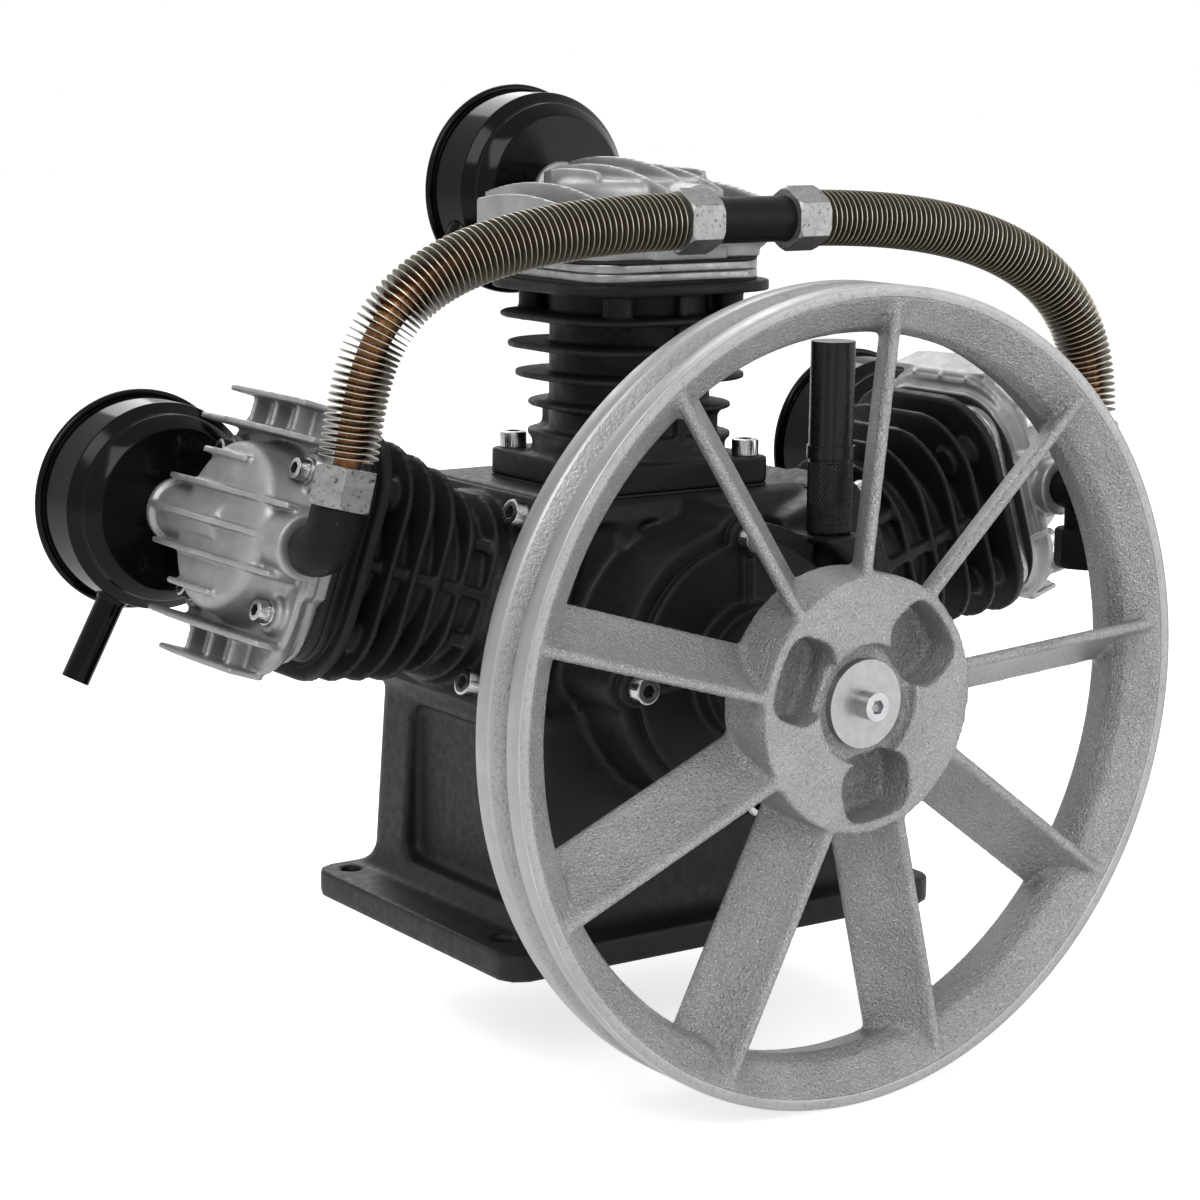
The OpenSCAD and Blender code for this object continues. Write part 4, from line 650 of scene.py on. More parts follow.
def spun(
    profile: Iterable[tuple[float, float]], steps: int = 96, closed: bool = True, bevel: float = 0.0, segments: int = 3,
) -> bmesh.types.BMesh:
    """Revolves a profile about Z.

    Args:
        profile: radius and height of each point, in order.
        steps: facets round the turn.
        closed: whether the last point joins the first.
        bevel: radius given to the edges that turn more than 25 degrees, or 0.
        segments: facets of each rounded edge.

    Returns:
        The revolved mesh.
    """
    bm = bmesh.new()
    points = [bm.verts.new((r, 0.0, h)) for r, h in profile]
    pairs = list(zip(points, points[1:] + points[:1])) if closed else list(zip(points, points[1:]))
    edges = [bm.edges.new(pair) for pair in pairs if max(abs(v.co.x) for v in pair) > 1e-9]
    turn_round(bm, points + edges, steps)
    if bevel:
        round_edges(bm, bevel, segments)
    return bm


def round_edges(bm: bmesh.types.BMesh, radius: float, segments: int = 3, above: float = 25.0) -> None:
    """Rounds the edges of a mesh that turn more than an angle.

    Args:
        bm: the mesh.
        radius: size of the rounding.
        segments: facets of each rounded edge.
        above: smallest turn that is rounded, in degrees.
    """
    limit = math.radians(above)
    sharp = [e for e in bm.edges if len(e.link_faces) == 2 and e.calc_face_angle(0.0) > limit]
    bmesh.ops.bevel(
        bm, geom=sharp, offset=radius, offset_type="OFFSET", segments=segments, profile=0.5, affect="EDGES",
        material=-1, clamp_overlap=True,
    )


def rod(radius: float, length: float, steps: int = 48, bevel: float = 0.0) -> bmesh.types.BMesh:
    """Round bar up from the origin, with rounded rims."""
    return spun([(0, 0), (radius, 0), (radius, length), (0, length)], steps, closed=False, bevel=bevel)


def cast_copy(
    node: str, name: str, finish: str, body: str, voxel: float, passes: int, faces: int,
    keep: Callable[[bmesh.types.BMesh], None] | None = None,
    extra: tuple[bmesh.types.BMesh, Matrix] | None = None,
) -> bpy.types.Object:
    """Gives a casting its rounded edges and filled corners.

    A copy of the node's mesh is merged, made one even skin, smoothed and thinned.

    Args:
        node: the CAD node that the piece stands for.
        name: name of the piece.
        finish: key of its finish, which is also the record's material slot.
        body: the body that it rides on.
        voxel: size of the skin's cells.
        passes: smoothing passes.
        faces: triangles that the piece keeps, at most.
        keep: edits the bmesh of the smoothed skin, in metres, or None.
        extra: a form in millimetres that the casting gains, with its place, or None.

    Returns:
        The new object.
    """
    source = frame["nodes"][node].data.copy()
    bm = bmesh.new()
    bm.from_mesh(source)
    bmesh.ops.remove_doubles(bm, verts=bm.verts, dist=1e-6)
    if extra is not None:
        add_mesh(bm, extra[0], Matrix.Scale(MM, 4) @ extra[1])
        extra[0].free()
    bm.to_mesh(source)
    bm.free()
    helper = bpy.data.objects.new("helper", source)
    bpy.context.scene.collection.objects.link(helper)
    coarse = 1.0
    remesh = helper.modifiers.new("skin", "REMESH")
    remesh.mode = "VOXEL"
    remesh.voxel_size = voxel * coarse * MM
    smooth = helper.modifiers.new("soften", "SMOOTH")
    smooth.factor = 0.5
    smooth.iterations = max(1, int(passes / coarse))
    graph = bpy.context.evaluated_depsgraph_get()
    mesh = bpy.data.meshes.new_from_object(helper.evaluated_get(graph))
    if keep is not None:
        bm = bmesh.new()
        bm.from_mesh(mesh)
        keep(bm)
        bm.to_mesh(mesh)
        bm.free()
    helper.modifiers.clear()
    helper.data = mesh
    count = sum(len(p.vertices) - 2 for p in mesh.polygons)
    if count > faces:
        thin = helper.modifiers.new("thin", "DECIMATE")
        thin.ratio = faces / count
        graph = bpy.context.evaluated_depsgraph_get()
        mesh = bpy.data.meshes.new_from_object(helper.evaluated_get(graph))
    bpy.data.objects.remove(helper)
    mesh.name = name
    return dressed(mesh, name, finish, body, [node], None)


# Sub-assemblies
@dataclass
class Castings:
    """Crankcase, bearing cover, cylinders and heads, with their cast skins."""

    case_voxel: float = 1.6
    cover_voxel: float = 1.1
    cylinder_voxel: float = 1.15
    head_voxel: float = 0.95
    dome_v: float = -3.0
    dome_profile: tuple[tuple[float, float], ...] = (
        (0, 26), (43, 26), (40.5, 34), (39, 43), (37.8, 45.2), (35.5, 46.9), (32.5, 47.4), (0, 47.4),
    )
    skirt_top: float = 24.0
    skirt_fade: float = 6.0
    skirt_from: float = 40.0
    skirt_draw: float = 0.45
    clear_u: float = 20.0
    clear_fade: float = 4.0

    def build(self) -> None:
        """Makes every casting."""
        cast_copy("crankcase", "crankcase_casting", "black_casting", "frame", self.case_voxel, 6, 150000)
        cast_copy("front_cover", "bearing_cover_casting", "black_casting", "frame", self.cover_voxel, 5, 60000)
        for side in Side:
            word = side.word
            cylinder, head = f"cylinder_casting_{word}", f"head_casting_{word}"
            cast_copy(f"cylinder_{word}", cylinder, "cylinder_iron", "frame", self.cylinder_voxel, 4, 120000)
            cast_copy(
                f"head_{word}", head, "head_aluminium", "frame", self.head_voxel, 4, 120000,
                lambda bm, side=side: self.trim_skirt(bm, side), (self.dome(), side.at(0, self.dome_v, side.deck)),
            )

    def dome(self) -> bmesh.types.BMesh:
        """Round flat-topped dome over the valve chamber, from the head's deck."""
        return spun(self.dome_profile, 96, closed=False)

    def trim_skirt(self, bm: bmesh.types.BMesh, side: Side) -> None:
        """Draws the head's skirt in at its front and back, clear of the port and the neck.

        Args:
            bm: the skin, in metres.
            side: the bank.
        """
        back = (Matrix.Scale(MM, 4) @ side.frame).inverted()
        out = back.inverted()
        for v in bm.verts:
            u, w, s = back @ v.co
            rise = s - side.deck
            if rise > self.skirt_top or abs(w) < self.skirt_from or abs(u) < self.clear_u:
                continue
            fade = min(1.0, (self.skirt_top - rise) / self.skirt_fade)
            fade *= min(1.0, (abs(u) - self.clear_u) / self.clear_fade)
            w -= math.copysign((abs(w) - self.skirt_from) * self.skirt_draw * fade, w)
            v.co = out @ Vector((u, w, s))


@dataclass
class Flywheel:
    """Flywheel: cast spokes and hub, with a turned rim over them."""

    radius: float = 185.0
    land: float = 5.0
    width: float = 33.0
    groove_top: float = 14.0
    groove_floor: float = 5.0
    groove_depth: float = 12.0
    voxel: float = 1.45
    lap: float = 0.6

    def build(self) -> None:
        """Makes the casting and the rim."""
        cast_copy("flywheel", "flywheel_casting", "wheel_silver", "rotor", self.voxel, 4, 190000, self.clear_rim)
        self.rim()

    def clear_rim(self, bm: bmesh.types.BMesh) -> None:
        """Pulls the cast skin in behind the turned rim.

        Args:
            bm: the skin, in metres.
        """
        for v in bm.verts:
            across = Vector((v.co.x, v.co.z - CRANK_HEIGHT * MM))
            r = across.length / MM
            y = v.co.y / MM - WHEEL_FRONT
            front_edge = self.radius - self.land
            if r > front_edge - 0.4:
                pull = min(1.0, (r - front_edge + 0.4) / 1.2) * self.lap
                across *= (r - pull * 1.4) / r
                v.co.x, v.co.z = across.x, across.y + CRANK_HEIGHT * MM
                if y < self.width / 2:
                    v.co.y += pull * MM
            if y > self.width - 0.8 and r > 163.5:
                v.co.y = min(v.co.y, (WHEEL_FRONT + self.width - 0.5) * MM)

    def rim(self) -> None:
        """Makes the turned rim with its belt groove."""
        r, mid = self.radius, self.width / 2
        low = r - self.groove_depth
        profile = [
            (r - self.land, 0.0), (r, 0.0), (r, mid - self.groove_top / 2), (low, mid - self.groove_floor / 2),
            (low, mid + self.groove_floor / 2), (r, mid + self.groove_top / 2), (r, self.width), (166.6, self.width),
            (166.8, self.width - 1.0), (170.0, self.width - 3.0), (171.0, 12.0), (r - self.land - 0.2, 1.6),
        ]
        bm = spun(profile, 240, bevel=0.45, segments=2)
        bmesh.ops.transform(bm, matrix=moved(0, WHEEL_FRONT, CRANK_HEIGHT) @ turned("X", -90), verts=bm.verts)
        piece(bm, "flywheel_rim", "wheel_machined", "rotor")


@dataclass
class Route:
    """Middle line of a discharge tube, as a cubic curve between its two nuts."""

    points: list[Vector]
    steps: int = 400
    lengths: list[float] = field(default_factory=list)

    def __post_init__(self) -> None:
        """Measures the running length."""
        self.lengths = [0.0]
        for k in range(1, self.steps + 1):
            step = (self.at(k / self.steps) - self.at((k - 1) / self.steps)).length
            self.lengths.append(self.lengths[-1] + step)

    def at(self, t: float) -> Vector:
        """Point of the curve at t from 0 to 1."""
        a, b, c, d = self.points
        s = 1 - t
        return a * s**3 + b * 3 * t * s * s + c * 3 * t * t * s + d * t**3

    def share(self, length: float) -> float:
        """Parameter at a running length."""
        low, high = 0, self.steps
        while high - low > 1:
            mid = (low + high) // 2
            low, high = (mid, high) if self.lengths[mid] <= length else (low, mid)
        span = self.lengths[high] - self.lengths[low]
        return (low + (length - self.lengths[low]) / span) / self.steps

    def frame(self, length: float) -> tuple[Vector, Vector, Vector, Vector]:
        """Point, direction and two cross directions at a running length."""
        t = self.share(min(max(length, 0.0), self.lengths[-1]))
        a, b, c, d = self.points
        s = 1 - t
        ahead = ((b - a) * s * s + (c - b) * 2 * t * s + (d - c) * t * t).normalized()
        side = ahead.cross(Vector((0, 1, 0))).normalized()
        return self.at(t), ahead, side, ahead.cross(side)


@dataclass
class DischargeTube:
    """Copper tube with a strip wound on edge round it, crimped at its root."""

    word: str
    route: Route
    core_r: float = 6.0
    fin_r: float = 13.0
    strip: float = 0.4
    turns: int = 74
    steps: int = 48
    folds: int = 16
    fold_height: float = 0.45
    clear: float = 11.6

    def build(self) -> None:
        """Makes the tube and its crimped strip."""
        self.wind()
        self.core()

    def bend(self, bm: bmesh.types.BMesh) -> None:
        """Bends a straight piece along Z onto the route.

        Args:
            bm: the straight piece, whose z is the running length.
        """
        for v in bm.verts:
            point, _, side, up = self.route.frame(v.co.z)
            v.co = point + side * v.co.x + up * v.co.y

    def wind(self) -> None:
        """Winds the strip."""
        run = self.route.lengths[-1] - 2 * self.clear
        bm = bmesh.new()
        radii = (self.core_r - 0.1, 7.4, 8.8, 11.0, self.fin_r - 0.35, self.fin_r)
        points = [bm.verts.new((r, 0.0, self.clear)) for r in radii]
        edges = [bm.edges.new(pair) for pair in zip(points, points[1:])]
        total = self.turns * self.steps
        bmesh.ops.spin(
            bm, geom=points + edges, cent=Vector(), axis=Vector((0, 0, 1)), dvec=Vector((0, 0, run / total)),
            angle=FULL_TURN * self.turns, steps=total, use_merge=False,
        )
        bmesh.ops.recalc_face_normals(bm, faces=bm.faces)
        height = bm.verts.layers.float.new("fin_height")
        for v in bm.verts:
            r = math.hypot(v.co.x, v.co.y)
            out = (r - self.core_r) / (self.fin_r - self.core_r)
            v[height] = out
            angle = math.atan2(v.co.y, v.co.x)
            v.co.z += self.fold_height * max(0.0, 1 - 1.6 * out) * math.sin(self.folds * angle)
        bmesh.ops.solidify(bm, geom=bm.faces[:], thickness=self.strip)
        for v in bm.verts:
            v[height] = (math.hypot(v.co.x, v.co.y) - self.core_r) / (self.fin_r - self.core_r)
        self.bend(bm)
        piece(bm, f"wound_fins_{self.word}", "tube_fin", "frame", [f"tube_fins_{self.word}"], sharp=50)

    def core(self) -> None:
        """Makes the tube."""
        bm = bmesh.new()
        steps, length = 24, self.route.lengths[-1]
        bmesh.ops.create_circle(bm, cap_ends=False, radius=self.core_r, segments=steps)
        edges = bm.edges[:]
        rings = 110
        for _ in range(rings):
            grown = bmesh.ops.extrude_edge_only(bm, edges=edges)["geom"]
            verts = [g for g in grown if isinstance(g, bmesh.types.BMVert)]
            edges = [g for g in grown if isinstance(g, bmesh.types.BMEdge)]
            bmesh.ops.translate(bm, vec=Vector((0, 0, length / rings)), verts=verts)
        self.bend(bm)
        bmesh.ops.holes_fill(bm, edges=[e for e in bm.edges if e.is_boundary], sides=steps)
        piece(bm, f"copper_tube_{self.word}", "tube_copper", "frame", [f"tube_{self.word}"])


@dataclass
class Breather:
    """Knurled base of the breather on the crankcase, under its cap tube."""

    x: float = 49.0
    y: float = -103.0
    foot: float = 193.5
    radius: float = 10.75
    height: float = 36.0
    pitch: float = 1.9
    depth: float = 0.6
    crossed_share: float = 0.4
    plain: float = 1.6

    def build(self) -> None:
        """Makes the knurled base."""
        samples = 4
        around = round(FULL_TURN * self.radius / self.pitch)
        steps = around * samples
        rows = int((self.height - 2 * self.plain) / self.pitch * samples)
        body = self.radius - self.depth
        heights = [self.plain + (self.height - 2 * self.plain) * k / rows for k in range(rows + 1)]
        profile = [(4.0, 0.0), (body - 0.3, 0.0), (body, 0.4), *[(body, h) for h in heights]]
        profile += [(body, self.height - 0.4), (body - 0.3, self.height), (4.0, self.height)]
        bm = spun(profile, steps, closed=True)
        for v in bm.verts:
            r = math.hypot(v.co.x, v.co.y)
            if r < body - 0.01 or not self.plain < v.co.z < self.height - self.plain:
                continue
            turn = math.atan2(v.co.y, v.co.x) / FULL_TURN * around
            climb = v.co.z / self.pitch
            ridges = [abs(((turn + way * climb * 0.8) % 1.0) - 0.5) * 2 for way in (1, -1)]
            crossed = v.co.z < self.height * self.crossed_share
            rise = self.depth * min(1.0, 1.6 * (1 - (max(ridges) if crossed else ridges[0])) + 0.1)
            v.co.x *= (r + rise) / r
            v.co.y *= (r + rise) / r
        bmesh.ops.transform(bm, matrix=moved(self.x, self.y, self.foot), verts=bm.verts)
        piece(bm, "breather_knurl", "breather_black", "frame", ["breather_base"], sharp=30)


@dataclass
class FilterDrum:
    """Pressed drum of an intake filter, with its spigot, rolled rim and side pipe."""

    side: Side
    sheet: float = 1.2
    steps: int = 120
    face_r: float = 38.0
    roll_r: float = 2.0
    drum_r: float = 49.0
    rim_r: float = 52.7
    depth: float = 40.0
    spigot_r: float = 8.9
    spigot: float = 12.0
    pipe_r: float = 6.75
    pipe_end: float = 91.0
    pipe_z: float = 22.0

    @property
    def matrix(self) -> Matrix:
        """Place of the drum: z along the drum from its front face, y down, x to the side."""
        side = self.side
        return side.at(0, side.neck_reach, side.deck + 37.5) @ turned("X", -90) @ turned("Z", -side.lean)

    def build(self) -> None:
        """Makes the drum and its pipe as one pressed piece."""
        outer = [
            (self.spigot_r, -self.spigot), (self.spigot_r, 0.0), (self.face_r, 0.0), (40.0, 2.0), (44.0, 6.0),
            (44.0, 9.0), (49.0, 13.0), (self.drum_r, self.depth - 1.4), (self.rim_r - 1.6, self.depth - 1.8),
        ]
        t = self.sheet
        inner = [
            (self.rim_r - 1.6, self.depth + 0.4), (self.drum_r - t, self.depth + 0.4), (self.drum_r - t, 13.6),
            (43.0, 9.4), (43.0, 6.6), (39.4, 3.0), (37.6, t), (self.spigot_r - t, t), (self.spigot_r - t, -self.spigot),
        ]
        bm = spun(outer + inner, self.steps, bevel=1.1, segments=3)
        rim = bmesh.new()
        place = moved(self.rim_r - self.roll_r, 0, self.depth) @ turned("X", 90)
        bmesh.ops.create_circle(rim, cap_ends=False, radius=self.roll_r, segments=14, matrix=place)
        turn_round(rim, rim.verts[:] + rim.edges[:], self.steps)
        add_mesh(bm, rim, Matrix.Identity(4))
        rim.free()
        self.add_pipe(bm)
        bmesh.ops.transform(bm, matrix=self.matrix, verts=bm.verts)
        word = self.side.word
        piece(bm, f"filter_drum_{word}", "filter_enamel", "frame", [f"filter_housing_{word}"])

    def add_pipe(self, bm: bmesh.types.BMesh) -> None:
        """Adds the side pipe, flared where it joins the drum.

        Args:
            bm: the drum's mesh.
        """
        turn = (28.0, 42.0, -28.0)[self.side.value]
        off = (0.0, -18.0, 0.0)[self.side.value]
        start = math.sqrt(self.drum_r**2 - off**2) - 3.0
        r, t = self.pipe_r, 1.1
        flare = [(r + 1.6, start), (r + 0.9, start + 3.4), (r, start + 5.2)]
        bore = [(r, self.pipe_end), (r - t, self.pipe_end), (r - t, start), (r - t, start - 1)]
        pipe = spun(flare + bore, 48, bevel=0.35, segments=3)
        place = turned("Z", turn) @ moved(off, 0, self.pipe_z) @ turned("X", -90)
        add_mesh(bm, pipe, place)
        pipe.free()


@dataclass
class ValvePlates:
    """The two valve plates under a head, with their rounded rims."""

    side: Side
    half: tuple[float, float] = (50.5, 45.5)
    corner: float = 17.0
    first: float = 0.8
    thick: float = 4.5
    gap: float = 0.1
    rim: float = 0.8

    def build(self) -> None:
        """Makes both plates of the bank as one piece."""
        bm = bmesh.new()
        for k in range(2):
            plate = bmesh.new()
            size = Matrix.Diagonal((2 * self.half[0], 2 * self.half[1], self.thick - self.gap, 1.0))
            bmesh.ops.create_cube(plate, size=1.0, matrix=moved(0, 0, self.thick / 2) @ size)
            upright = [e for e in plate.edges if abs(e.verts[0].co.z - e.verts[1].co.z) > 1]
            bmesh.ops.bevel(
                plate, geom=upright, offset=self.corner, offset_type="OFFSET", segments=12, profile=0.5,
                affect="EDGES", material=-1, clamp_overlap=True,
            )
            round_edges(plate, self.rim, 3, 60.0)
            add_mesh(bm, plate, self.side.at(0, 0, self.side.deck + self.first + k * self.thick))
            plate.free()
        word = self.side.word
        # Painted shade: the left bank's plates are coloured dark for the shade they sit in; the other banks keep bare
        # valve steel
        finish = "plate_painted_shade" if self.side is Side.LEFT else "valve_steel"
        piece(bm, f"valve_plate_pair_{word}", finish, "frame", [f"valve_plates_{word}"])


@dataclass
class SocketScrews:
    """Cap screws with hexagon sockets, rounded heads and knurled sides."""

    node: str
    size: tuple[float, float, float]
    places: list[Matrix]
    washer: tuple[float, float] | None = None
    ridges: int = 36
    groove: float = 0.14
    socket_share: float = 0.55

    def head(self) -> bmesh.types.BMesh:
        """Mesh of one screw, with the seat of its head at z = 0."""
        wide, high, key = self.size
        steps = 2 * self.ridges
        bm = bmesh.new()
        r, socket = wide / 2, key / math.cos(math.pi / 6) / 2
        bmesh.ops.create_circle(bm, cap_ends=True, radius=socket, segments=6)
        floor = bm.faces[:]
        bmesh.ops.reverse_faces(bm, faces=[f for f in floor if f.normal.z < 0])
        edges = bm.edges[:]
        grown = bmesh.ops.extrude_edge_only(bm, edges=edges)["geom"]
        verts = [g for g in grown if isinstance(g, bmesh.types.BMVert)]
        bmesh.ops.translate(bm, vec=Vector((0, 0, high * self.socket_share)), verts=verts)
        bmesh.ops.translate(bm, vec=Vector((0, 0, high * (1 - self.socket_share))), verts=bm.verts)
        for face in bm.faces:
            face.material_index = 1
        crown = [(r - 1.5, high), (r - 1.1, high), (r - 0.25, high - 0.35), (r, high - 1.0)]
        ring = spun([*crown, (r, 0.3), (r - 0.3, 0.0)], steps, closed=False)
        for v in ring.verts:
            out = math.hypot(v.co.x, v.co.y)
            if out > r - 0.05:
                step = round(math.atan2(v.co.y, v.co.x) / FULL_TURN * steps)
                if step % 2:
                    v.co.x *= (out - self.groove) / out
                    v.co.y *= (out - self.groove) / out
        add_mesh(bm, ring, Matrix.Identity(4))
        ring.free()
        rims = [e for e in bm.edges if e.is_boundary and all(abs(v.co.z - high) < 1e-4 for v in e.verts)]
        bmesh.ops.bridge_loops(bm, edges=rims)
        base = [e for e in bm.edges if e.is_boundary]
        bmesh.ops.holes_fill(bm, edges=base, sides=0)
        return bm

    def build(self) -> None:
        """Makes every screw of the group as one piece."""
        bm = bmesh.new()
        one = self.head()
        for place in self.places:
            add_mesh(bm, one, place)
        one.free()
        if self.washer:
            radius, thick = self.washer
            ring = spun([(3.2, -thick), (radius, -thick), (radius, 0.0), (3.2, 0.0)], 48, bevel=0.25, segments=2)
            for place in self.places:
                add_mesh(bm, ring, place)
            ring.free()
        name, finish = f"{self.node}_dressed", "zinc_screw"
        piece(bm, name, finish, "frame", [self.node], sharp=28, inner=["socket_shadow"])


# Width and height of the head, and width of its socket
M8 = (13.0, 8.0, 6.0)
M6 = (10.0, 6.0, 5.0)


def cover_ring(radius: float, phase: float, y: float, facing: float, twist: float) -> list[Matrix]:
    """Places of four screws on a circle about the crank axis.

    Args:
        radius: radius of the circle.
        phase: angle of the first screw, in degrees.
        y: place of the heads' seats along the crank.
        facing: turn about X that points the heads away from the case, in degrees.
        twist: degrees that each next screw is turned about its own axis.

    Returns:
        The four matrices, in millimetres.
    """
    places = []
    for k in range(4):
        angle = math.radians(phase + 90 * k)
        seat = moved(radius * math.cos(angle), y, CRANK_HEIGHT + radius * math.sin(angle))
        places.append(seat @ turned("X", facing) @ turned("Z", twist * k))
    return places


def screw_groups() -> list[SocketScrews]:
    """The groups of cap screws with their places.

    Returns:
        One entry for each node of screws in the frame.
    """
    corners = [(x, y) for x in (-1, 1) for y in (-1, 1)]
    front = cover_ring(62.5, 1.5, -106.3, 90, 17)
    rear = cover_ring(37.0, 45.0, 84.8, -90, 0)
    feet = [
        side.at(x * 40.5, y * 40.5, side.seat + 14) @ turned("Z", 23 * x + 9 * y) for side in Side for x, y in corners
    ]
    heads = [
        side.at(x * 32.5, y * 36, side.deck + 30.5) @ turned("Z", 31 * x + 14 * y) for side in Side for x, y in corners
    ]
    return [
        SocketScrews("front_cover_screws", M8, front),
        SocketScrews("rear_cover_screws", M6, rear),
        SocketScrews("cylinder_screws", M8, feet),
        SocketScrews("head_screws", M6, heads, washer=(6.2, 1.5)),
    ]


def discharge_tubes() -> list[DischargeTube]:
    """The two discharge tubes on their routes.

    Returns:
        The left and the right tube.
    """
    tubes = []
    tee_l, tee_reach, nut_l = 43.0, 33.0, 18.0
    centre = Side.CENTRE
    centre_port = Vector((0.0, centre.along_crank - PORT_REACH, CRANK_HEIGHT + centre.deck + PORT_HEIGHT))
    for sign, side, lean, reach_out, arm, shares in (
        (-1, Side.LEFT, 14.0, 19.0, 20.0, (1.073, 0.533)), (1, Side.RIGHT, 0.0, 16.5, 17.5, (1.061, 0.362)),
    ):
        out = side.deck + PORT_HEIGHT
        bank = math.radians(abs(side.lean))
        across, up = sign * out * math.sin(bank), CRANK_HEIGHT + out * math.cos(bank)
        port = Vector((across, side.along_crank - PORT_REACH, up))
        start = centre_port + Vector((sign * (tee_l + nut_l) / 2, -tee_reach, 0.0))
        tilt = Vector((math.sin(math.radians(lean)), 0.0, math.cos(math.radians(lean))))
        end = port + Vector((0.0, -reach_out, 0.0)) + tilt * (arm + nut_l / 2)
        reach, drop = abs(end.x - start.x) * shares[0], abs(start.z - end.z) * shares[1]
        points = [start, start + Vector((sign * reach, 0, 0)), end + tilt * drop, end]
        tubes.append(DischargeTube(side.word, Route(points)))
    return tubes


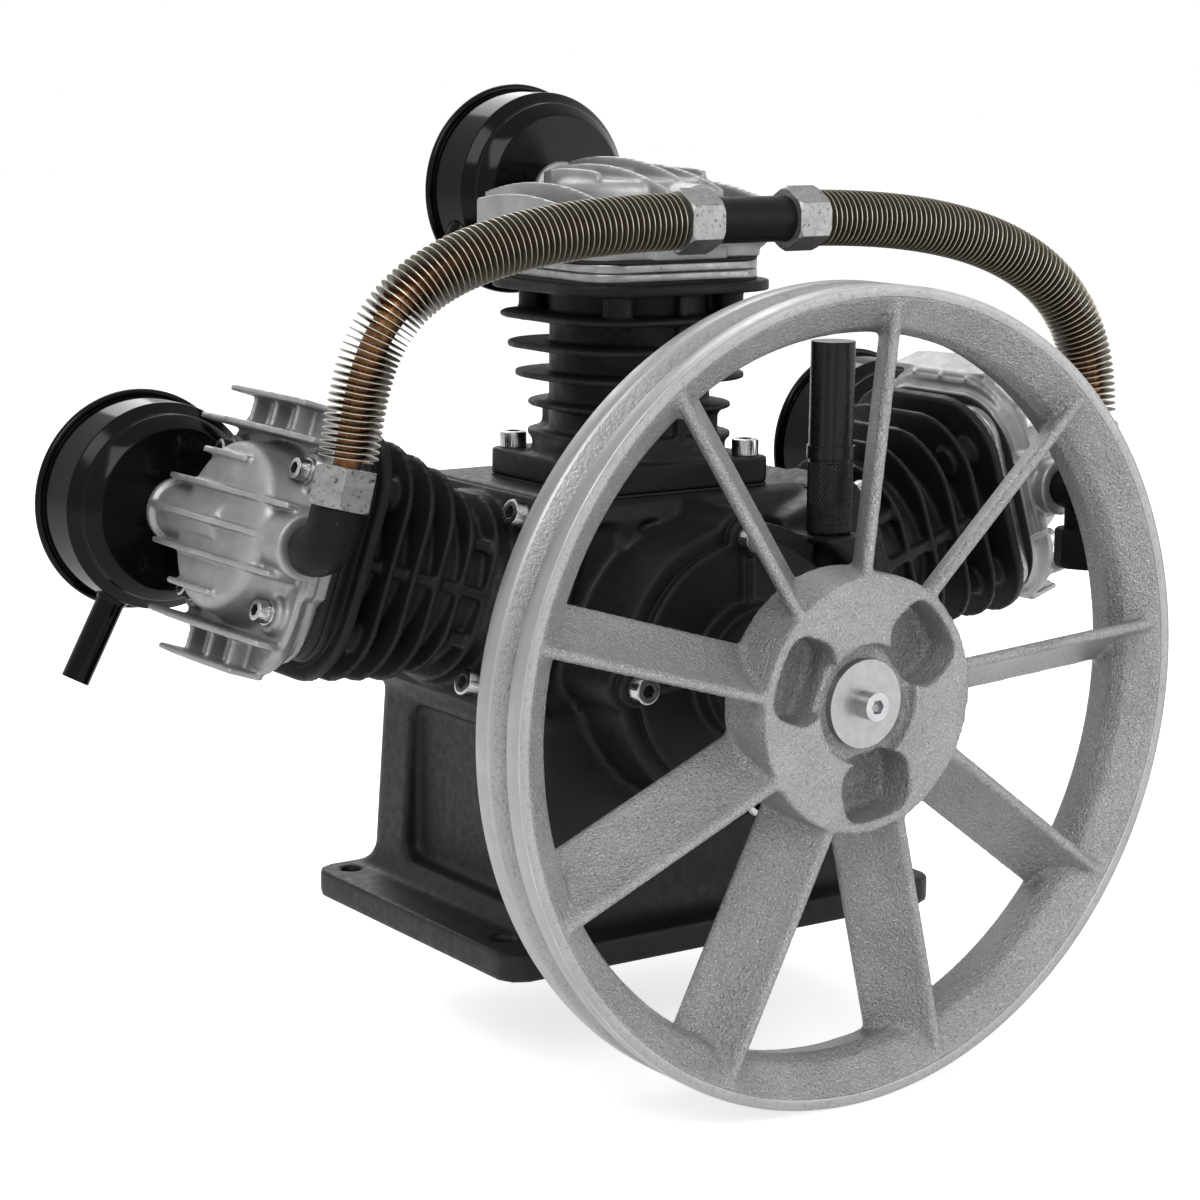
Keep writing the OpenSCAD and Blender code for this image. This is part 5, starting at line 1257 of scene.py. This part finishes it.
# Stage
@dataclass
class Studio:
    """Camera, lamps, world and floor."""

    camera_at: Vector = field(default_factory=lambda: Vector((-0.8155, -1.1600, 0.4142)))
    ahead: Vector = field(default_factory=lambda: Vector((0.560378, 0.807667, -0.183438)))
    roll: float = 0.603
    lens: float = 87.52
    floor_z: float = -0.0525
    floor_size: float = 9.0
    floor_glow: float = 0.7
    soft_light: float = 0.42
    aim: tuple[float, float, float] = (0.0, -0.05, 0.15)
    lamps: tuple[tuple[str, tuple[float, float, float], float, float], ...] = (
        ("key", (-1.5, -1.6, 2.1), 1.5, 46.0),
        ("fill", (1.9, -1.9, 0.9), 1.6, 22.0),
        ("back", (0.6, 1.9, 1.7), 1.4, 24.0),
    )

    def build(self) -> None:
        """Makes everything that isn't part of the object."""
        self.camera()
        self.world()
        self.floor()
        for name, place, size, watts in self.lamps:
            self.lamp(name, place, size, watts)
        bpy.context.scene.view_settings.view_transform = "Standard"

    def camera(self) -> None:
        """Sets the camera at the photograph's place, turn and lens."""
        right = self.ahead.cross(Vector((0, 0, 1))).normalized()
        up = right.cross(self.ahead).normalized()
        tilt = math.radians(self.roll)
        across = right * math.cos(tilt) + up * math.sin(tilt)
        upward = up * math.cos(tilt) - right * math.sin(tilt)
        data = bpy.data.cameras.new("camera")
        data.lens, data.sensor_width = self.lens, 36.0
        data.clip_start, data.clip_end = 0.05, 50.0
        camera = bpy.data.objects.new("camera", data)
        rows = Matrix((across, upward, -self.ahead.normalized())).transposed().to_4x4()
        camera.matrix_world = Matrix.Translation(self.camera_at) @ rows
        bpy.context.scene.collection.objects.link(camera)
        bpy.context.scene.camera = camera

    def world(self) -> None:
        """Lights the object from all sides and shows white behind it."""
        world = bpy.data.worlds.new("studio")
        world.use_nodes = True
        bpy.context.scene.world = world
        tree = world.node_tree
        tree.nodes.clear()
        path = tree.nodes.new("ShaderNodeLightPath")
        seen = self.seen(tree, path)
        soft, white = tree.nodes.new("ShaderNodeBackground"), tree.nodes.new("ShaderNodeBackground")
        soft.inputs["Color"].default_value = (0.92, 0.95, 1.0, 1.0)
        soft.inputs["Strength"].default_value = self.soft_light
        white.inputs["Color"].default_value = (1, 1, 1, 1)
        mix, out = tree.nodes.new("ShaderNodeMixShader"), tree.nodes.new("ShaderNodeOutputWorld")
        tree.links.new(seen, mix.inputs[0])
        tree.links.new(soft.outputs[0], mix.inputs[1])
        tree.links.new(white.outputs[0], mix.inputs[2])
        tree.links.new(mix.outputs[0], out.inputs["Surface"])

    @staticmethod
    def seen(tree: bpy.types.NodeTree, path: bpy.types.Node) -> bpy.types.NodeSocket:
        """Socket that is 1 for what the camera, gloss or glass looks at.

        Args:
            tree: the node tree.
            path: its Light Path node.

        Returns:
            The socket.
        """
        total = path.outputs["Is Camera Ray"]
        for name in ("Is Glossy Ray", "Is Transmission Ray"):
            add = tree.nodes.new("ShaderNodeMath")
            add.operation, add.use_clamp = "ADD", True
            tree.links.new(total, add.inputs[0])
            tree.links.new(path.outputs[name], add.inputs[1])
            total = add.outputs["Value"]
        return total

    def floor(self) -> None:
        """Lays a plain pale floor that keeps a faint shadow."""
        bm = bmesh.new()
        bmesh.ops.create_grid(bm, x_segments=1, y_segments=1, size=self.floor_size)
        mesh = bpy.data.meshes.new("floor")
        bm.to_mesh(mesh)
        bm.free()
        mesh.transform(Matrix.Translation((0, 0, self.floor_z)))
        material = bpy.data.materials.new("floor")
        material.use_nodes = True
        tree = material.node_tree
        tree.nodes.clear()
        pale, white = tree.nodes.new("ShaderNodeBsdfDiffuse"), tree.nodes.new("ShaderNodeEmission")
        pale.inputs["Color"].default_value = (0.86, 0.86, 0.86, 1)
        share = tree.nodes.new("ShaderNodeMath")
        share.operation = "MULTIPLY"
        share.inputs[1].default_value = self.floor_glow
        tree.links.new(self.seen(tree, tree.nodes.new("ShaderNodeLightPath")), share.inputs[0])
        tree.links.new(share.outputs[0], white.inputs["Strength"])
        both, out = tree.nodes.new("ShaderNodeAddShader"), tree.nodes.new("ShaderNodeOutputMaterial")
        tree.links.new(pale.outputs[0], both.inputs[0])
        tree.links.new(white.outputs[0], both.inputs[1])
        tree.links.new(both.outputs[0], out.inputs["Surface"])
        mesh.materials.append(material)
        floor = bpy.data.objects.new("floor", mesh)
        bpy.context.scene.collection.objects.link(floor)

    def lamp(self, name: str, place: tuple[float, float, float], size: float, watts: float) -> None:
        """Hangs a soft square lamp that faces the object.

        Args:
            name: name of the lamp.
            place: its place, in metres.
            size: side of the square, in metres.
            watts: its power.
        """
        data = bpy.data.lights.new(name, "AREA")
        data.shape, data.size, data.energy = "SQUARE", size, watts
        lamp = bpy.data.objects.new(name, data)
        lamp.location = place
        lamp.rotation_euler = (Vector(self.aim) - Vector(place)).to_track_quat("-Z", "Y").to_euler()
        bpy.context.scene.collection.objects.link(lamp)


def dress_nodes() -> None:
    """Gives every CAD node the finish of its slot, or a better one where the node has its own."""
    own = {"flywheel_washer": "turned_zinc", "flywheel_screw": "zinc_screw"}
    for row in frame["record"]["subparts"]:
        node = frame["nodes"][row["node"]]
        finish = own.get(row["node"], row["material_slot"])
        node.data.materials.clear()
        node.data.materials.append(WARDROBE.get(finish))
        LOG.info("%s wears %s", row["node"], finish)


def main() -> None:
    """Builds the stage, dresses the nodes and makes the detailed pieces."""
    logging.basicConfig(level=logging.INFO, format="%(name)s: %(message)s")
    Studio().build()
    dress_nodes()
    Castings().build()
    Flywheel().build()
    for tube in discharge_tubes():
        tube.build()
    Breather().build()
    for side in Side:
        FilterDrum(side).build()
        ValvePlates(side).build()
    for group in screw_groups():
        group.build()


if __name__ == "__main__":
    main()
